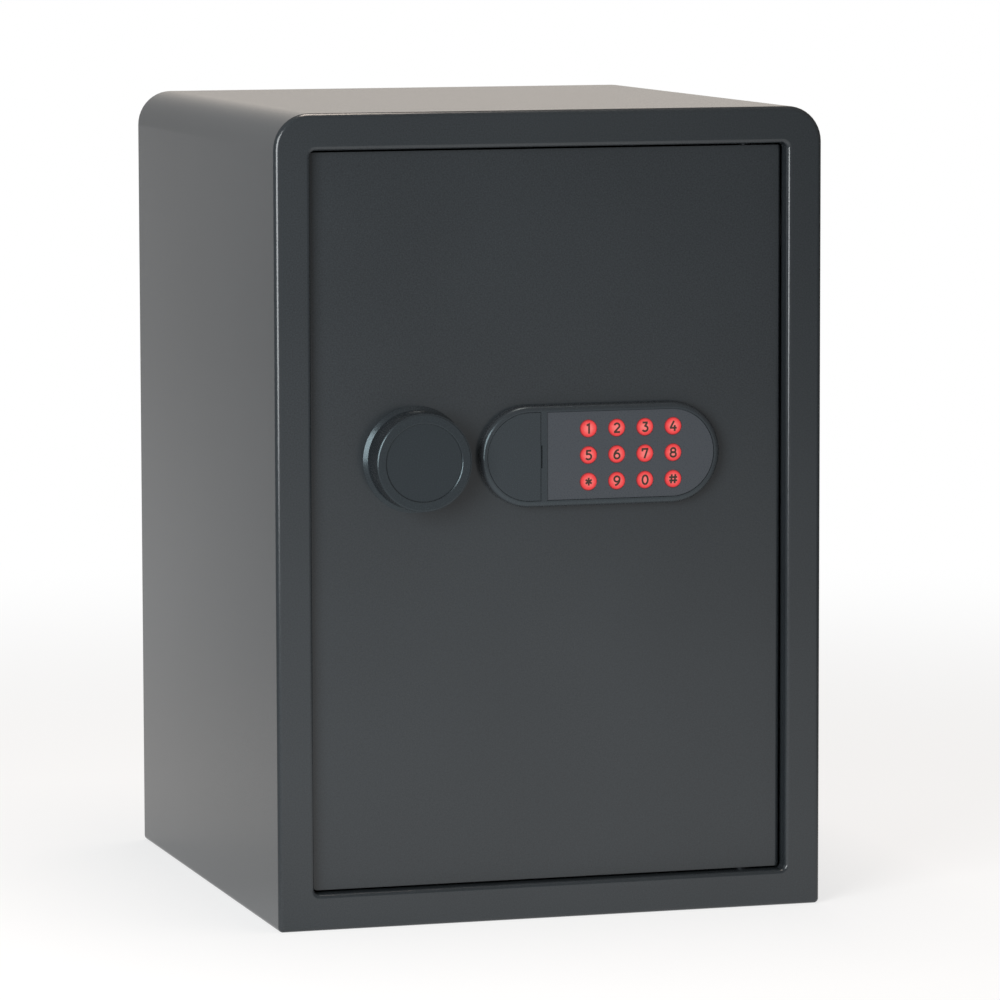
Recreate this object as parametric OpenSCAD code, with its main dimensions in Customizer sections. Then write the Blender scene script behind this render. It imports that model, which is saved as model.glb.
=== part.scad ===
// Electronic safe: a folded steel cabinet with a recessed door on hidden pivots, a round knob that
// throws three bolts, and a lit twelve-key keypad with an override lock under a lift-off cover.
// Millimetres, +Z up, the front faces -Y. The origin is the middle of the base, on its underside.
// The bolts are drawn back and the solenoid plunger is pulled in, as when the code was accepted.

/* [Body] */
// Width of the cabinet
body_w = 350; // [340:1:400]
// Height of the cabinet
body_h = 500; // [480:1:600]
// Depth of the cabinet
body_d = 360; // [320:1:420]
// Thickness of the cabinet's sheet steel
sheet_t = 2; // [1.5:0.25:2.25]
// Outer radius of the two top corners
top_corner_r = 22; // [14:1:30]
// Outer radius of the bend between the sides and the front face
face_bend_r = 3; // [2.5:0.25:4]
// Width of the front frame from the cabinet's side to the door opening
frame_w = 22.5; // [20:0.5:26]
// Radius of the bend round the door opening
opening_bend_r = 2.5; // [2.3:0.1:3]
// Depth of the flange that turns in round the door opening
flange_d = 12.3; // [11:0.1:12.5]

/* [Fixings and fittings inside] */
// Diameter of the anchor holes
anchor_d = 12; // [8:0.5:14]
// Spacing of the floor anchors across the cabinet
floor_anchor_x = 220; // [160:5:240]
// Spacing of the floor anchors from front to back
floor_anchor_y = 200; // [140:5:220]
// Spacing of the two anchors in the back
back_anchor_x = 200; // [120:5:240]
// Height of the two anchors in the back
back_anchor_h = 400; // [300:5:420]
// Height of the shelf's underside
shelf_h = 250; // [200:5:300]
// Thickness of the shelf's sheet
shelf_t = 1.5; // [1:0.25:2]
// Thickness of the floor mat
mat_t = 3; // [2:0.5:5]

/* [Door] */
// Gap round the closed door
door_gap = 1.5; // [1.4:0.1:2]
// Depth of the door's face behind the frame's face
door_recess = 8; // [7.5:0.25:8.5]
// Thickness of the door plate
door_t = 4; // [3:0.25:4.25]
// Radius of the door plate's four corners
door_corner_r = 2; // [1:0.25:3.5]
// Radius on the door plate's front edge beside the hinges, which lets it swing clear of the flange
door_edge_r = 3; // [2.75:0.05:3]
// Depth of the bolt work housing behind the door plate
pan_d = 34; // [33:0.5:40]
// Thickness of the housing's sheet and of its cover
pan_t = 1.5; // [1:0.25:2]
// Space beside the housing on the door's free edge
pan_free_side = 19; // [17:0.5:21]
// Space beside the housing on the hinge edge
pan_hinge_side = 11; // [9:0.5:15]
// Space above and below the housing
pan_end = 31; // [27:1:37]

/* [Hinge] */
// Distance of the hinge pins in from the door's edge
hinge_inset = 21; // [19:0.5:24]
// Distance of the hinge pins behind the door's face
hinge_depth = 9.5; // [9:0.1:9.8]
// Diameter of the hinge pins
hinge_pin_d = 8; // [6:0.5:8.5]
// Radial clearance of every turning fit
turn_play = 0.05; // [0.02:0.01:0.08]
// Height of the hinge blocks on the door
hinge_block_h = 24; // [18:1:26]

/* [Bolts] */
// Diameter of the locking bolts
bolt_d = 20; // [16:0.5:20]
// Spacing of the locking bolts
bolt_pitch = 130; // [110:5:140]
// Travel of the bolts
bolt_travel = 20; // [18:0.5:20]
// Distance of the drawn-back bolt tips inside the door's edge
bolt_tip_inset = 4; // [2:0.5:6]
// Thickness of the bolt bar
bar_t = 3; // [2:0.25:3.5]
// Diameter of the crank pin that drives the bolt bar
crank_pin_d = 8; // [6:0.5:8]
// Half of the angle through which the knob turns
crank_half_angle = 40; // [36:1:42]

/* [Knob] */
// Height of the knob and keypad above the middle of the door
lock_rise = 37.5; // [34:0.5:42]
// Distance of the knob's axis in from the door's free edge
knob_in = 65.5; // [63:0.5:69]
// Diameter of the knob's flared foot
knob_foot_d = 66; // [63:0.5:68]
// Diameter of the knob's knurled rim
knob_rim_d = 60.5; // [58:0.5:61]
// Height of the knob
knob_height = 22; // [18:0.5:26]
// Height of the knob's smooth foot
knob_foot_h = 2.25; // [2:0.25:6]
// Diameter of the disc let into the knob's face
knob_face_d = 48; // [40:0.5:50]
// Number of ribs round the knob
knob_ribs = 120; // [80:4:140]
// Diameter of the knob's shaft
shaft_d = 10; // [8:0.5:11]

/* [Keypad] */
// Distance from the knob's axis to the middle of the keypad
pad_from_knob = 117.1; // [115.1:0.5:122.1]
// Length of the keypad
pad_w = 154; // [152:0.5:156]
// Height of the keypad
pad_h = 62.5; // [61:0.5:65]
// How far the keypad stands off the door
pad_d = 8; // [7.75:0.25:9]
// Radius along the keypad's front edge
pad_edge_r = 3; // [1:0.25:3.25]
// Wall of the keypad housing
pad_wall = 2.5; // [2:0.25:2.75]
// Width of the housing's rim round the key panel and the cover
rim_w = 4.1; // [3.5:0.1:4.5]
// Place of the seam between cover and key panel, left of the keypad's middle
seam_x = 39.1; // [38:0.1:40.5]
// Width of the bar between the cover and the key panel
bridge_w = 4.4; // [3.5:0.1:5]
// Thickness of the key panel
panel_t = 1.2; // [0.8:0.1:1.6]
// Diameter of a key
key_d = 10.4; // [9:0.2:10.8]
// Spacing of the keys across
key_pitch_x = 18.25; // [17:0.25:18.5]
// Spacing of the keys up and down
key_pitch_y = 16.4; // [15.5:0.1:16.6]
// Travel of a key
key_travel = 1; // [0.6:0.1:1]
// Height of a key above the key panel
key_proud = 0.3; // [0.1:0.1:0.6]
// Thickness of the override cover's plate
cover_t = 3.2; // [3:0.1:3.4]
// Diameter of the override lock's barrel
barrel_d = 18; // [16:0.5:18.5]

/* [Solenoid] */
// Diameter of the solenoid's plunger
plunger_d = 8; // [6:0.5:8]
// Travel of the plunger
plunger_travel = 7; // [5:0.5:7]
// Height of the solenoid's frame
solenoid_h = 34; // [30:1:40]

/* [Batteries and electronics] */
// Diameter of a battery cell
cell_d = 14.5; // [14:0.1:14.5]
// Length of a battery cell
cell_l = 50.5; // [49:0.5:51]
// Distance of the battery box to the right of the keypad's middle
battery_right = 8.5; // [0:0.5:15]
// Space between the control board and the battery box
battery_space = 30; // [26:1:36]
// Diameter of the reset button
reset_d = 10; // [8:0.5:12]
// Diameter of the leads
lead_d = 3; // [2:0.25:3.5]

/* [Hidden] */

// A little clearance between flat faces that move past or lift off each other
face_play = 0.1;
// Clearance round a key, a button and a lift-off cover
loose_play = 0.3;
// How far a cutter runs past the face that it opens
past = 1;

// Distances towards the front are measured from the middle of the cabinet
face_z = body_d / 2;
door_front = face_z - door_recess;
door_back = door_front - door_t;
opening_w = body_w - 2 * frame_w;
opening_h = body_h - 2 * frame_w;
opening_low = frame_w;
opening_high = body_h - frame_w;
opening_corner_r = door_corner_r + door_gap;
bottom_corner_r = face_bend_r;
flange_back = face_z - flange_d;
inner_w = body_w - 2 * sheet_t;
inner_h = body_h - 2 * sheet_t;
inner_back = face_z - sheet_t;

// The door fills the opening but for its gap
door_w = opening_w - 2 * door_gap;
door_h = opening_h - 2 * door_gap;
door_bottom = frame_w + door_gap;
door_top = door_bottom + door_h;
door_mid = door_bottom + door_h / 2;
lock_h = door_mid + lock_rise;
knob_x = -door_w / 2 + knob_in;
pad_x = knob_x + pad_from_knob;
hinge_x = door_w / 2 - hinge_inset;
hinge_z = door_front - hinge_depth;
hinge_block_w = 28;
hinge_block_d = 17;
lug_w = 36;
lug_d = 20;
pin_in_lug = 12;
pin_end_play = 1;
washer_d = 16;
stop_w = 10;
stop_h = 14;
stop_end = 5;

// The housing behind the door plate
pan_left = -door_w / 2 + pan_free_side;
pan_right = door_w / 2 - pan_hinge_side;
pan_w = pan_right - pan_left;
pan_x = (pan_left + pan_right) / 2;
pan_bottom = door_bottom + pan_end;
pan_h = door_h - 2 * pan_end;
pan_back = door_back - pan_d;
pan_lip = 12;
cover_back = pan_back - pan_t;
screw_d = 3.2;
screw_head_d = 7;
screw_head_t = 1.6;
screw_l = 8;
screw_in = pan_lip / 2;
screw_end = 20;
recess_w = 1;
recess_l = 4;
recess_t = 0.9;
cover_screw_spots = [for (x = [pan_left + screw_in, pan_right - screw_in],
    y = [pan_bottom + screw_end, door_mid, pan_bottom + pan_h - screw_end]) [x, y]];

// Bolt work: the bush sits just behind the door plate and sets the bolts' depth
bush_wall = 2;
bush_proud = 3;
bush_front = pan_left - bush_proud;
bush_to_plate = 0.5;
bolt_z = door_back - bush_to_plate - bolt_d / 2 - bush_wall;
bolt_tip = -door_w / 2 + bolt_tip_inset;
bolt_tip_chamfer = 1.5;
bolt_screw_d = 6;
bolt_screw_head_d = 10;
bolt_screw_head_t = 5;
bolt_socket_d = 5.8;
bolt_screw_in = 14;
bolt_heights = [for (i = [-1 : 1]) door_mid + i * bolt_pitch];

// Crank: the pin's swing is symmetric about the upright through the knob
crank_r = bolt_travel / 2 / sin(crank_half_angle);
disc_t = 4;
disc_d = 2 * (crank_r + crank_pin_d / 2);
bushing_flange_t = 2;
bushing_wall = 2;
bushing_flange_w = 3;
bushing_d = shaft_d + 2 * bushing_wall;
bushing_flange_d = bushing_d + 2 * bushing_flange_w;
crank_gap = 1;
crank_neck_d = crank_pin_d / 2;
crank_pin_proud = 1.5;
disc_front = door_back - bushing_flange_t - crank_gap;
disc_back = disc_front - disc_t;
web_front = disc_back - crank_gap;
web_back = web_front - bar_t;
crank_x = knob_x + crank_r * sin(crank_half_angle);
crank_y = lock_h + crank_r * cos(crank_half_angle);
slot_play = 0.4;
slot_end_play = 0.6;
slot_low = crank_y - crank_pin_d / 2 - slot_end_play;
slot_high = lock_h + crank_r + crank_pin_d / 2 + slot_end_play;
slot_land = 8;
web_low = lock_h - shaft_d - slot_land;
web_high = slot_high + slot_land;
web_right = crank_x + crank_pin_d / 2 + slot_play + slot_land;
bar_depth = 16;
bar_end = 25;
bar_gap = 0.5;
bush_gap = 2;

// The plunger drops on either side of the tooth, so that it holds both ends of the travel
tooth_play = 0.5;
tooth_w = bolt_travel - plunger_d - 2 * tooth_play;
tooth_h = plunger_travel + 1;
tooth_left = knob_x;
plunger_x = tooth_left - plunger_d / 2 - tooth_play;
plunger_z = (web_front + web_back) / 2;
plunger_clear = 1;
plunger_low = web_high + tooth_h + plunger_clear;
plunger_l = 33;
solenoid_w = 19;
solenoid_t = 1.5;
solenoid_back = plunger_z - solenoid_w / 2;
coil_d = 2 * (door_back - solenoid_t - plunger_z) - 2 * face_play;
collar_d = 13;
collar_t = 1.2;
collar_low = plunger_low + plunger_travel;
spring_room = 4;
solenoid_low = collar_low + collar_t + spring_room;
coil_cap = 2;
spring_wire_d = 0.8;
spring_clear = 1;
spring_turns = 3;

// The bolt bar's upright flange runs between the bushes and the solenoid
bar_right = plunger_x - solenoid_w / 2 - bar_gap;
bar_left = bar_right - bar_t;
bush_l = bar_left - bolt_travel - bush_gap - bush_front;

// Knob
knob_gap = 0.5;
knob_back = door_front + knob_gap;
knob_top = door_front + knob_height;
knob_step = 0.2;
knob_chamfer = 0.4;
knob_chamfer_in = 0.6;
knob_face_recess = 0.8;
knob_mouth_deep = 0.35;
knob_mouth_out = 0.5;
knob_face_t = 1.6;
knob_wall = 3;
rib_depth = 0.4;
knob_web_t = 2;
knob_floor = knob_top - knob_face_recess - knob_face_t - knob_web_t;
knob_face_play = 0.15;
knob_hub_wall = 4;
knob_hub_d = shaft_d + 2 * knob_hub_wall;

// Keypad
pad_front = door_front + pad_d;
panel_recess = 0.5;
panel_play = 0.15;
panel_front = pad_front - panel_recess;
panel_back = panel_front - panel_t;
ledge_t = 1;
cavity_front = panel_back - ledge_t;
panel_left = -seam_x + bridge_w;
panel_r = pad_h / 2 - rim_w;
end_x = (pad_w - pad_h) / 2;
key_first_x = -8.2;
key_col_x = [for (i = [0 : 3]) key_first_x + i * key_pitch_x];
key_row_y = [for (i = [1 : -1 : -1]) i * key_pitch_y];
key_flange_w = 1;
key_flange_r = key_d / 2 + key_flange_w;
key_flange_t = 1.2;
window_land = 11;
window_left = key_col_x[0] - key_flange_r - window_land;
window_right = key_col_x[3] + key_flange_r + loose_play * 2;
window_end = 6;
window_h = pad_h - 2 * window_end;
key_flange_front = panel_back - loose_play;
key_back = key_flange_front - key_flange_t;
board_t = 1.2;
board_stand = 0.2;
board_in = 2;
board_back = door_front + board_stand;
board_front = board_back + board_t;
board_left = window_left + board_in;
board_right = window_right - board_in;
board_h = pad_h - 2 * pad_wall - 2 * loose_play;
tab_w = 4;
tab_in = 3;
mat_sheet_t = 0.6;
mat_edge = 0.5;
dome_d = 8;
dome_taper = 2;
dome_gap = 0.4;
dome_top = key_back - key_travel - dome_gap;
pad_boss_d = 8;
pad_screw_d = 4;
pad_screw_grip = 5;
pad_screw_head_t = 2.5;
pad_screw_out = 4.5;
pad_screw_rise = 18;
pad_screw_spots = [[window_left - pad_screw_out, pad_screw_rise],
    [window_left - pad_screw_out, -pad_screw_rise], [window_right + pad_screw_out, 0]];
lead_hole_d = 16;
lead_from_pad = 15;
lead_hole_x = pad_x + lead_from_pad;

// Override lock and its cover
lock_x = pad_x - (seam_x + pad_w / 2 - rim_w) / 2;
pocket_clear = 1.6;
pocket_floor = pad_front - cover_t - pocket_clear;
floor_t = 2.5;
barrel_flange_t = 1.2;
barrel_flange_w = 2;
barrel_flange_d = barrel_d + 2 * barrel_flange_w;
barrel_behind = 18;
barrel_back = door_back - barrel_behind;
barrel_wall = 2.5;
plug_d = barrel_d - 2 * barrel_wall;
plug_face = pocket_floor + barrel_flange_t;
keyway_w = 1.6;
keyway_h = 8;
keyway_deep = 12;
tail_d = 6;
tail_proud = 1;
cam_t = 2.5;
cam_l = 22;
cam_w = 14;
nut_land = 3;
nut_af = barrel_d + 2 * nut_land;
nut_t = 4;
cover_rim_t = 1.5;
notch_w = 1.2;
notch_h = 14;
notch_deep = 1.5;

// Control board
control_w = 70;
control_h = 46;
control_from_pad = 23.5;
control_drop = 36.5;
control_x = pad_x + control_from_pad;
control_low = lock_h - control_drop - control_h;
control_mid = control_low + control_h / 2;
standoff_l = 7;
standoff_d = 5;
standoff_in = 4;
control_front = door_back - standoff_l;
control_back = control_front - board_t;
chip_w = 12;
chip_t = 2;
chip_left = 16;
sounder_d = 9;
sounder_t = 4;
sounder_left = 24;
reset_right = 20;
reset_x = control_x + reset_right;
reset_proud = 2;
reset_travel = 2;
reset_flange_w = 1.5;
reset_flange_t = 1.2;
reset_stem = 4;
reset_switch_d = 6;
reset_front = cover_back - reset_proud;
reset_back = pan_back + loose_play + reset_flange_t + reset_stem;
reset_switch_end = reset_back + reset_travel + loose_play;

// Battery box: four cells one above another, opened from inside the safe
cell_gap = 0.7;
cell_pitch = cell_d + cell_gap;
cell_count = 4;
cell_end_play = 1.5;
battery_wall = 1.5;
battery_in_w = cell_l + 2 * cell_end_play;
battery_in_h = cell_count * cell_pitch + 2 * loose_play;
battery_w = battery_in_w + 2 * battery_wall;
battery_box_h = battery_in_h + 2 * battery_wall;
battery_x = pad_x + battery_right;
battery_h = control_low - battery_space - battery_box_h;
battery_mid = battery_h + battery_box_h / 2;
cell_cover_gap = 2;
battery_floor = pan_back + cell_d + cell_cover_gap;
cell_pip_d = 5;
cell_pip_h = 1;
hatch_proud = 0.5;
groove_l = 16;
groove_w = 0.8;
groove_t = 0.4;
groove_pitch = 2;
groove_in = 5;
groove_count = 5;
contact_t = 1;
contact_w = 9;

// Sockets on the control board for the three leads
socket_w = 8;
socket_h = 6;
socket_t = 3;
socket_z = control_back - socket_t / 2;
socket_in = 1;
socket_top = control_low + control_h - socket_in;
socket_low = control_low + socket_in;
keypad_socket_x = lead_hole_x;
socket_from_side = 10;
socket_right = 6;
solenoid_socket_x = control_x - control_w / 2 + socket_from_side;
battery_socket_x = battery_x + socket_right;

lead_steps = 3;
lead_sides = 8;
// Routes of the leads, as [across, height, towards the front]
keypad_lead_route = [
    [lead_hole_x, lock_h, board_back],
    [lead_hole_x, lock_h, door_back],
    [lead_hole_x, lock_h - 1, door_back - 6],
    [lead_hole_x, lock_h - 6, door_back - 11],
    [lead_hole_x, lock_h - 16, socket_z - 2],
    [keypad_socket_x, socket_top + 6, socket_z],
    [keypad_socket_x, socket_top, socket_z]];
solenoid_top = solenoid_low + solenoid_h;
solenoid_lead_route = [
    [plunger_x, solenoid_top - solenoid_t, plunger_z],
    [plunger_x, solenoid_top + 4, plunger_z],
    [plunger_x + 8, solenoid_top + 11, plunger_z],
    [plunger_x + 26, solenoid_top + 9, plunger_z - 3],
    [plunger_x + 54, lock_h + 62, door_back - 18],
    [plunger_x + 82, lock_h + 42, door_back - 21],
    [solenoid_socket_x - 10, lock_h + 18, door_back - 21],
    [solenoid_socket_x - 2, lock_h - 12, door_back - 18],
    [solenoid_socket_x, socket_top + 6, socket_z],
    [solenoid_socket_x, socket_top, socket_z]];
battery_top = battery_h + battery_box_h;
battery_lead_route = [
    [battery_x, battery_top, pan_back + 9],
    [battery_x, battery_top + 5, pan_back + 9],
    [battery_x + 4, battery_top + 14, socket_z - 5],
    [battery_socket_x, socket_low - 6, socket_z],
    [battery_socket_x, socket_low, socket_z]];

// Shelf, brackets and floor mat
shelf_gap = 2;
shelf_behind = 20;
shelf_front = pan_back - shelf_behind;
shelf_lip = 15;
bracket_h = 20;
bracket_w = 18;
bracket_l = 40;
bracket_from_front = 25;
bracket_from_back = 30;
mat_gap = 3;
mat_hole_play = 4;
mat_behind = 8;
mat_front = flange_back - lug_d - mat_behind;

coat = "#3d4247";
coat_dark = "#34383c";
steel = "#9aa0a4";
black_steel = "#232326";
zinc = "#b7bbb8";
brass = "#b59a52";
plastic = "#2f3235";
glow = "#f0554f";

// Turns the lying frame (X across, Y up the door, Z towards the front) into the standing one
module upright() {
    rotate([90, 0, 0]) children();
}

module at(x, y, z = 0) {
    translate([x, y, z]) children();
}

// Rod along Z between two depths, in the lying frame
module rod(d, from, to, fn = 48) {
    translate([0, 0, from]) cylinder(d = d, h = to - from, $fn = fn);
}

// Block between two corners
module block(low, high) {
    translate(low) cube(high - low);
}

// Door-shaped outline standing on y = 0, with its own radius at top and bottom
module tall_outline(w, h, r_top, r_low) {
    difference() {
        translate([-w / 2, 0]) square([w, h]);
        for (s = [-1, 1]) {
            if (r_top > 0) corner_cut(s * w / 2, h, -s, -1, r_top);
            if (r_low > 0) corner_cut(s * w / 2, 0, -s, 1, r_low);
        }
    }
}

// What a rounded corner takes off: a square corner less its circle
module corner_cut(x, y, sx, sy, r) {
    difference() {
        translate([sx > 0 ? x - past : x - r, sy > 0 ? y - past : y - r])
            square([r + past, r + past]);
        translate([x + sx * r, y + sy * r]) circle(r = r, $fn = 96);
    }
}

// Quarter of a bent sheet's section, between its inner and outer radius
module quarter_ring(r, t) {
    intersection() {
        difference() {
            circle(r = r, $fn = 64);
            circle(r = r - t, $fn = 64);
        }
        square([r, r]);
    }
}

// Slot-ended outline, centred
module stadium(w, h) {
    square([w - h, h], center = true);
    for (s = [-1, 1]) translate([s * (w - h) / 2, 0]) circle(d = h, $fn = 96);
}

module body_wrap() {
    color(coat) difference() {
        upright() translate([0, 0, -face_z]) linear_extrude(body_d - face_bend_r) difference() {
            tall_outline(body_w, body_h, top_corner_r, bottom_corner_r);
            translate([0, sheet_t])
                tall_outline(inner_w, inner_h, top_corner_r - sheet_t, bottom_corner_r - sheet_t);
        }
        floor_anchors() translate([0, 0, -past])
            cylinder(d = anchor_d, h = sheet_t + 2 * past, $fn = 48);
    }
}

module floor_anchors() {
    for (x = [-1, 1], y = [-1, 1])
        translate([x * floor_anchor_x / 2, y * floor_anchor_y / 2, 0]) children();
}

// Bend strip along a straight edge that starts at the origin and runs along +X, in the lying
// frame: its outside is towards -Y and its top towards +Z
module bend_strip(l, r) {
    rotate([90, 0, 90]) linear_extrude(l) mirror([1, 0]) quarter_ring(r, sheet_t);
}

// Quarter turn of the same bend round a corner, the outside facing -X and -Y
module bend_corner(r_corner, r) {
    rotate([0, 0, 180]) rotate_extrude(angle = 90, $fn = 96)
        translate([r_corner - r, 0]) quarter_ring(r, sheet_t);
}

// Quarter turn of the bend round the opening's corner, the outside facing the opening
module opening_bend_corner() {
    rotate([0, 0, 180]) rotate_extrude(angle = 90, $fn = 64)
        translate([opening_corner_r + opening_bend_r, 0])
            mirror([1, 0]) quarter_ring(opening_bend_r, sheet_t);
}

module front_frame() {
    flat_w = body_w - 2 * face_bend_r;
    flat_h = body_h - 2 * face_bend_r;
    bend_z = face_z - face_bend_r;
    lip_z = face_z - opening_bend_r;
    hole_w = opening_w + 2 * opening_bend_r;
    hole_h = opening_h + 2 * opening_bend_r;
    hole_r = opening_corner_r + opening_bend_r;
    color(coat) upright() {
        // Flat face
        translate([0, 0, face_z - sheet_t]) linear_extrude(sheet_t) difference() {
            translate([0, face_bend_r])
                tall_outline(flat_w, flat_h, top_corner_r - face_bend_r, 0);
            translate([0, frame_w - opening_bend_r]) tall_outline(hole_w, hole_h, hole_r, hole_r);
        }
        // Outer bend: bottom, top and sides, then the four corners
        translate([-flat_w / 2, face_bend_r, bend_z]) bend_strip(flat_w, face_bend_r);
        translate([flat_w / 2 - (top_corner_r - face_bend_r), body_h - face_bend_r, bend_z])
            rotate([0, 0, 180]) bend_strip(body_w - 2 * top_corner_r, face_bend_r);
        for (s = [0, 1]) mirror([s, 0, 0]) {
            translate([-flat_w / 2, body_h - top_corner_r, bend_z]) rotate([0, 0, -90])
                bend_strip(body_h - top_corner_r - bottom_corner_r, face_bend_r);
            translate([-flat_w / 2, face_bend_r, bend_z]) bend_corner(bottom_corner_r, face_bend_r);
            translate([-body_w / 2 + top_corner_r, body_h - top_corner_r, bend_z])
                rotate([0, 0, -90]) bend_corner(top_corner_r, face_bend_r);
        }
        // Bend round the opening
        for (s = [0, 1]) mirror([s, 0, 0]) {
            translate([-hole_w / 2, opening_low + opening_corner_r, lip_z]) rotate([0, 0, 90])
                bend_strip(opening_h - 2 * opening_corner_r, opening_bend_r);
            translate([-opening_w / 2 + opening_corner_r, opening_low + opening_corner_r, lip_z])
                opening_bend_corner();
            translate([-opening_w / 2 + opening_corner_r, opening_high - opening_corner_r, lip_z])
                rotate([0, 0, -90]) opening_bend_corner();
        }
        translate([opening_w / 2 - opening_corner_r, opening_low - opening_bend_r, lip_z])
            rotate([0, 0, 180]) bend_strip(opening_w - 2 * opening_corner_r, opening_bend_r);
        translate([-opening_w / 2 + opening_corner_r, opening_high + opening_bend_r, lip_z])
            bend_strip(opening_w - 2 * opening_corner_r, opening_bend_r);
        // Flange that turns in
        translate([0, 0, flange_back]) linear_extrude(flange_d - opening_bend_r) difference() {
            translate([0, opening_low - sheet_t]) tall_outline(opening_w + 2 * sheet_t,
                opening_h + 2 * sheet_t, opening_corner_r + sheet_t, opening_corner_r + sheet_t);
            translate([0, opening_low])
                tall_outline(opening_w, opening_h, opening_corner_r, opening_corner_r);
        }
    }
}

module back_plate() {
    color(coat) upright() difference() {
        translate([0, sheet_t, -face_z]) linear_extrude(sheet_t)
            tall_outline(inner_w, inner_h, top_corner_r - sheet_t, bottom_corner_r - sheet_t);
        for (s = [-1, 1]) translate([s * back_anchor_x / 2, back_anchor_h, -face_z - past])
            cylinder(d = anchor_d, h = sheet_t + 2 * past, $fn = 48);
    }
}

// Two tabs behind the flange, against which the door's free edge closes
module door_stops() {
    edge = -opening_w / 2;
    color(coat) upright() for (low = [door_bottom + stop_end, door_top - stop_end - stop_h])
        block([edge - sheet_t, low, flange_back - sheet_t],
            [edge + stop_w, low + stop_h, flange_back]);
}

// Blocks welded behind the flange, above and below the door, with the holes for its pins
module hinge_lugs() {
    color(coat) upright() for (low = [sheet_t, opening_high]) {
        high = low == sheet_t ? opening_low : body_h - sheet_t;
        difference() {
            block([hinge_x - lug_w / 2, low, flange_back - lug_d],
                [hinge_x + lug_w / 2, high, flange_back]);
            translate([hinge_x, low == sheet_t ? opening_low + past : low - past, hinge_z])
                rotate([low == sheet_t ? 90 : -90, 0, 0])
                    cylinder(d = hinge_pin_d + 2 * turn_play,
                        h = pin_in_lug + pin_end_play + past, $fn = 64);
        }
    }
}

// Washer that carries the door on the lower lug
module hinge_washer() {
    color(black_steel) translate([hinge_x, -hinge_z, opening_low]) difference() {
        cylinder(d = washer_d, h = door_gap - 2 * face_play, $fn = 64);
        translate([0, 0, -past])
            cylinder(d = hinge_pin_d + 2 * loose_play, h = door_gap + 2 * past, $fn = 64);
    }
}

module shelf() {
    half = inner_w / 2 - shelf_gap;
    color(coat_dark) upright() {
        block([-half, shelf_h, -inner_back + shelf_gap], [half, shelf_h + shelf_t, shelf_front]);
        block([-half, shelf_h - shelf_lip, shelf_front - shelf_t], [half, shelf_h, shelf_front]);
    }
}

// Four angle brackets on the side walls
module shelf_brackets() {
    back_end = -inner_back + bracket_from_back;
    front_end = shelf_front - bracket_from_front - bracket_l;
    color(coat_dark) upright() for (s = [0, 1], near = [back_end, front_end]) mirror([s, 0, 0]) {
        block([-inner_w / 2, shelf_h - bracket_h, near],
            [-inner_w / 2 + shelf_t, shelf_h, near + bracket_l]);
        block([-inner_w / 2 + shelf_t, shelf_h - shelf_t, near],
            [-inner_w / 2 + bracket_w, shelf_h, near + bracket_l]);
    }
}

module floor_mat() {
    color("#4a4b4d") difference() {
        block([-inner_w / 2 + mat_gap, -mat_front, sheet_t],
            [inner_w / 2 - mat_gap, inner_back - mat_gap, sheet_t + mat_t]);
        floor_anchors() cylinder(d = anchor_d + mat_hole_play, h = sheet_t + mat_t + past, $fn = 48);
    }
}

module door_plate() {
    color(coat) difference() {
        intersection() {
            translate([0, 0, door_bottom]) linear_extrude(door_h) difference() {
                translate([-door_w / 2, -door_front]) square([door_w, door_t]);
                corner_cut(door_w / 2, -door_front, -1, 1, door_edge_r);
            }
            upright() translate([0, door_bottom, door_back - past])
                linear_extrude(door_t + 2 * past)
                    tall_outline(door_w, door_h, door_corner_r, door_corner_r);
        }
        upright() {
            at(knob_x, lock_h) rod(bushing_d, door_back - past, door_front + past);
            at(lock_x, lock_h) rod(barrel_d, door_back - past, door_front + past);
            at(lead_hole_x, lock_h) rod(lead_hole_d, door_back - past, door_front + past);
            for (p = pad_screw_spots) at(pad_x + p[0], lock_h + p[1])
                rod(pad_screw_d, door_back - past, door_front + past);
        }
    }
}

module door_pan() {
    color(coat_dark) upright() difference() {
        union() {
            translate([pan_x, pan_bottom, pan_back]) linear_extrude(pan_d) difference() {
                tall_outline(pan_w, pan_h, 0, 0);
                translate([0, pan_t]) tall_outline(pan_w - 2 * pan_t, pan_h - 2 * pan_t, 0, 0);
            }
            translate([pan_x, pan_bottom, pan_back]) linear_extrude(pan_t) difference() {
                tall_outline(pan_w, pan_h, 0, 0);
                translate([0, pan_lip])
                    tall_outline(pan_w - 2 * pan_lip, pan_h - 2 * pan_lip, 0, 0);
            }
        }
        for (p = cover_screw_spots) at(p[0], p[1])
            rod(screw_d, pan_back - past, pan_back + pan_t + past);
        for (y = bolt_heights) translate([pan_left - past, y, bolt_z]) rotate([0, 90, 0])
            cylinder(d = bolt_d + 2 * bush_wall, h = pan_t + 2 * past, $fn = 64);
    }
}

module door_back_cover() {
    hatch_w = battery_in_w + 2 * loose_play;
    hatch_h = battery_in_h + 2 * loose_play;
    color(coat_dark) upright() difference() {
        block([pan_left, pan_bottom, cover_back], [pan_right, pan_bottom + pan_h, pan_back]);
        translate([battery_x - hatch_w / 2, battery_mid - hatch_h / 2, cover_back - past])
            cube([hatch_w, hatch_h, pan_t + 2 * past]);
        at(reset_x, control_mid) rod(reset_d + 2 * loose_play, cover_back - past, pan_back + past);
        for (p = cover_screw_spots) at(p[0], p[1]) rod(screw_d, cover_back - past, pan_back + past);
    }
}

// Screw along Z with a cross recess, its head's top facing -Z at the given depth
module cross_screw(d, head_top, head_t, l) {
    difference() {
        rod(screw_head_d, head_top, head_top + head_t);
        for (a = [0, 90]) rotate([0, 0, a])
            block([-recess_l / 2, -recess_w / 2, head_top - past],
                [recess_l / 2, recess_w / 2, head_top + recess_t]);
    }
    rod(d, head_top + head_t, head_top + head_t + l);
}

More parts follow.
